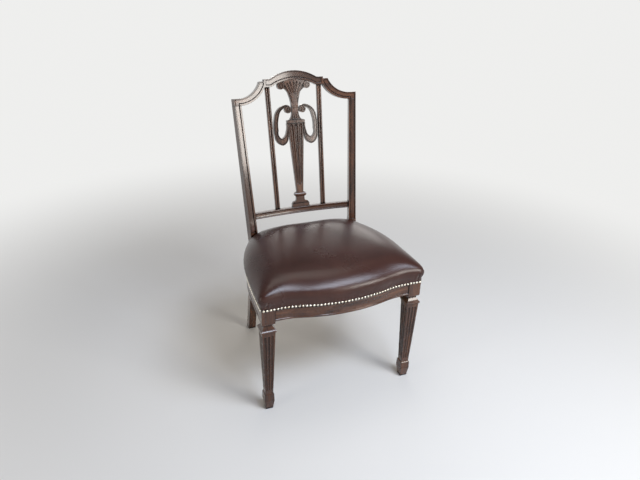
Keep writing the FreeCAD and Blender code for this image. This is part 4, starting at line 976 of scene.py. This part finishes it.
def woven_straps(name, node_name, along):
    """Webbing straps that pass over and under those of the other direction."""
    parts = separate_parts(nodes[node_name])
    parts.sort(key=lambda part: sum(point[1 - along] for point in part) / len(part))
    mesh = bmesh.new()
    for index, part in enumerate(parts):
        middle = sum(point[1 - along] for point in part) / len(part)
        low = min(point[along] for point in part)
        high = max(point[along] for point in part)
        rows = []
        for step in range(WEB_STEPS + 1):
            run = low + (high - low) * step / WEB_STEPS
            phase = (run - WEB_FIRST[along]) / WEB_PITCH * math.pi
            sign = (1 if index % 2 else -1) * (1 if along else -1)
            rise = WEB_MIDDLE_Z + WEB_WAVE * math.cos(phase) * sign
            row = []
            for across, up in ((-1, -1), (1, -1), (1, 1), (-1, 1)):
                place = [0.0, 0.0, rise + up * WEB_HALF_THICK]
                place[along] = run
                place[1 - along] = middle + across * WEB_HALF_WIDTH
                row.append(mesh.verts.new(place))
            rows.append(row)
        for before, after in zip(rows, rows[1:]):
            for side in range(4):
                beyond = (side + 1) % 4
                mesh.faces.new((before[side], before[beyond], after[beyond], after[side]))
        mesh.faces.new(rows[0][::-1])
        mesh.faces.new(rows[-1])
    bmesh.ops.recalc_face_normals(mesh, faces=mesh.faces)
    piece = new_piece(name, mesh, jute)
    for face in piece.data.polygons:
        face.use_smooth = False
    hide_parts(node_name)


def hessian_cloth():
    """Cloth stretched over the webbing, dipping a little into its open squares."""
    source = nodes["hessian_base"]
    mesh = bmesh.new()
    mesh.from_mesh(source.data)
    mesh.transform(source.matrix_world)
    bmesh.ops.remove_doubles(mesh, verts=mesh.verts, dist=SAME_PLACE)
    mesh.normal_update()
    bmesh.ops.delete(mesh, geom=[face for face in mesh.faces if face.normal.z < 0.9], context="FACES")
    low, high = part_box("hessian_base")
    for axis in (0, 1):
        across = Vector((1.0, 0.0, 0.0)) if axis == 0 else Vector((0.0, 1.0, 0.0))
        for place in np.arange(low[axis] + CLOTH_GRID, high[axis], CLOTH_GRID):
            every = mesh.verts[:] + mesh.edges[:] + mesh.faces[:]
            bmesh.ops.bisect_plane(
                mesh, geom=every, dist=0.000001, plane_co=across * place, plane_no=across,
            )
    area = sum(face.calc_area() for face in mesh.faces)
    for corner in mesh.verts:
        waves = [math.cos(2 * math.pi * (corner.co[axis] - WEB_FIRST[axis]) / WEB_PITCH) for axis in (0, 1)]
        corner.co.z = high[2] - CLOTH_DIP - CLOTH_DIP * (2.0 - waves[0] - waves[1])
    piece = new_piece("hessian_cloth", mesh, sacking)
    thick = piece.modifiers.new("thick", "SOLIDIFY")
    thick.thickness = CLOTH_THICK
    thick.offset = -1.0
    applied(piece)
    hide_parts("hessian_base")


for side in ("front", "left", "right", "back"):
    nail_heads("seat_nails_" + side)
woven_straps("webbing_lengthwise", "seat_webbing_front_to_back", 1)
woven_straps("webbing_crosswise", "seat_webbing_side_to_side", 0)
hessian_cloth()
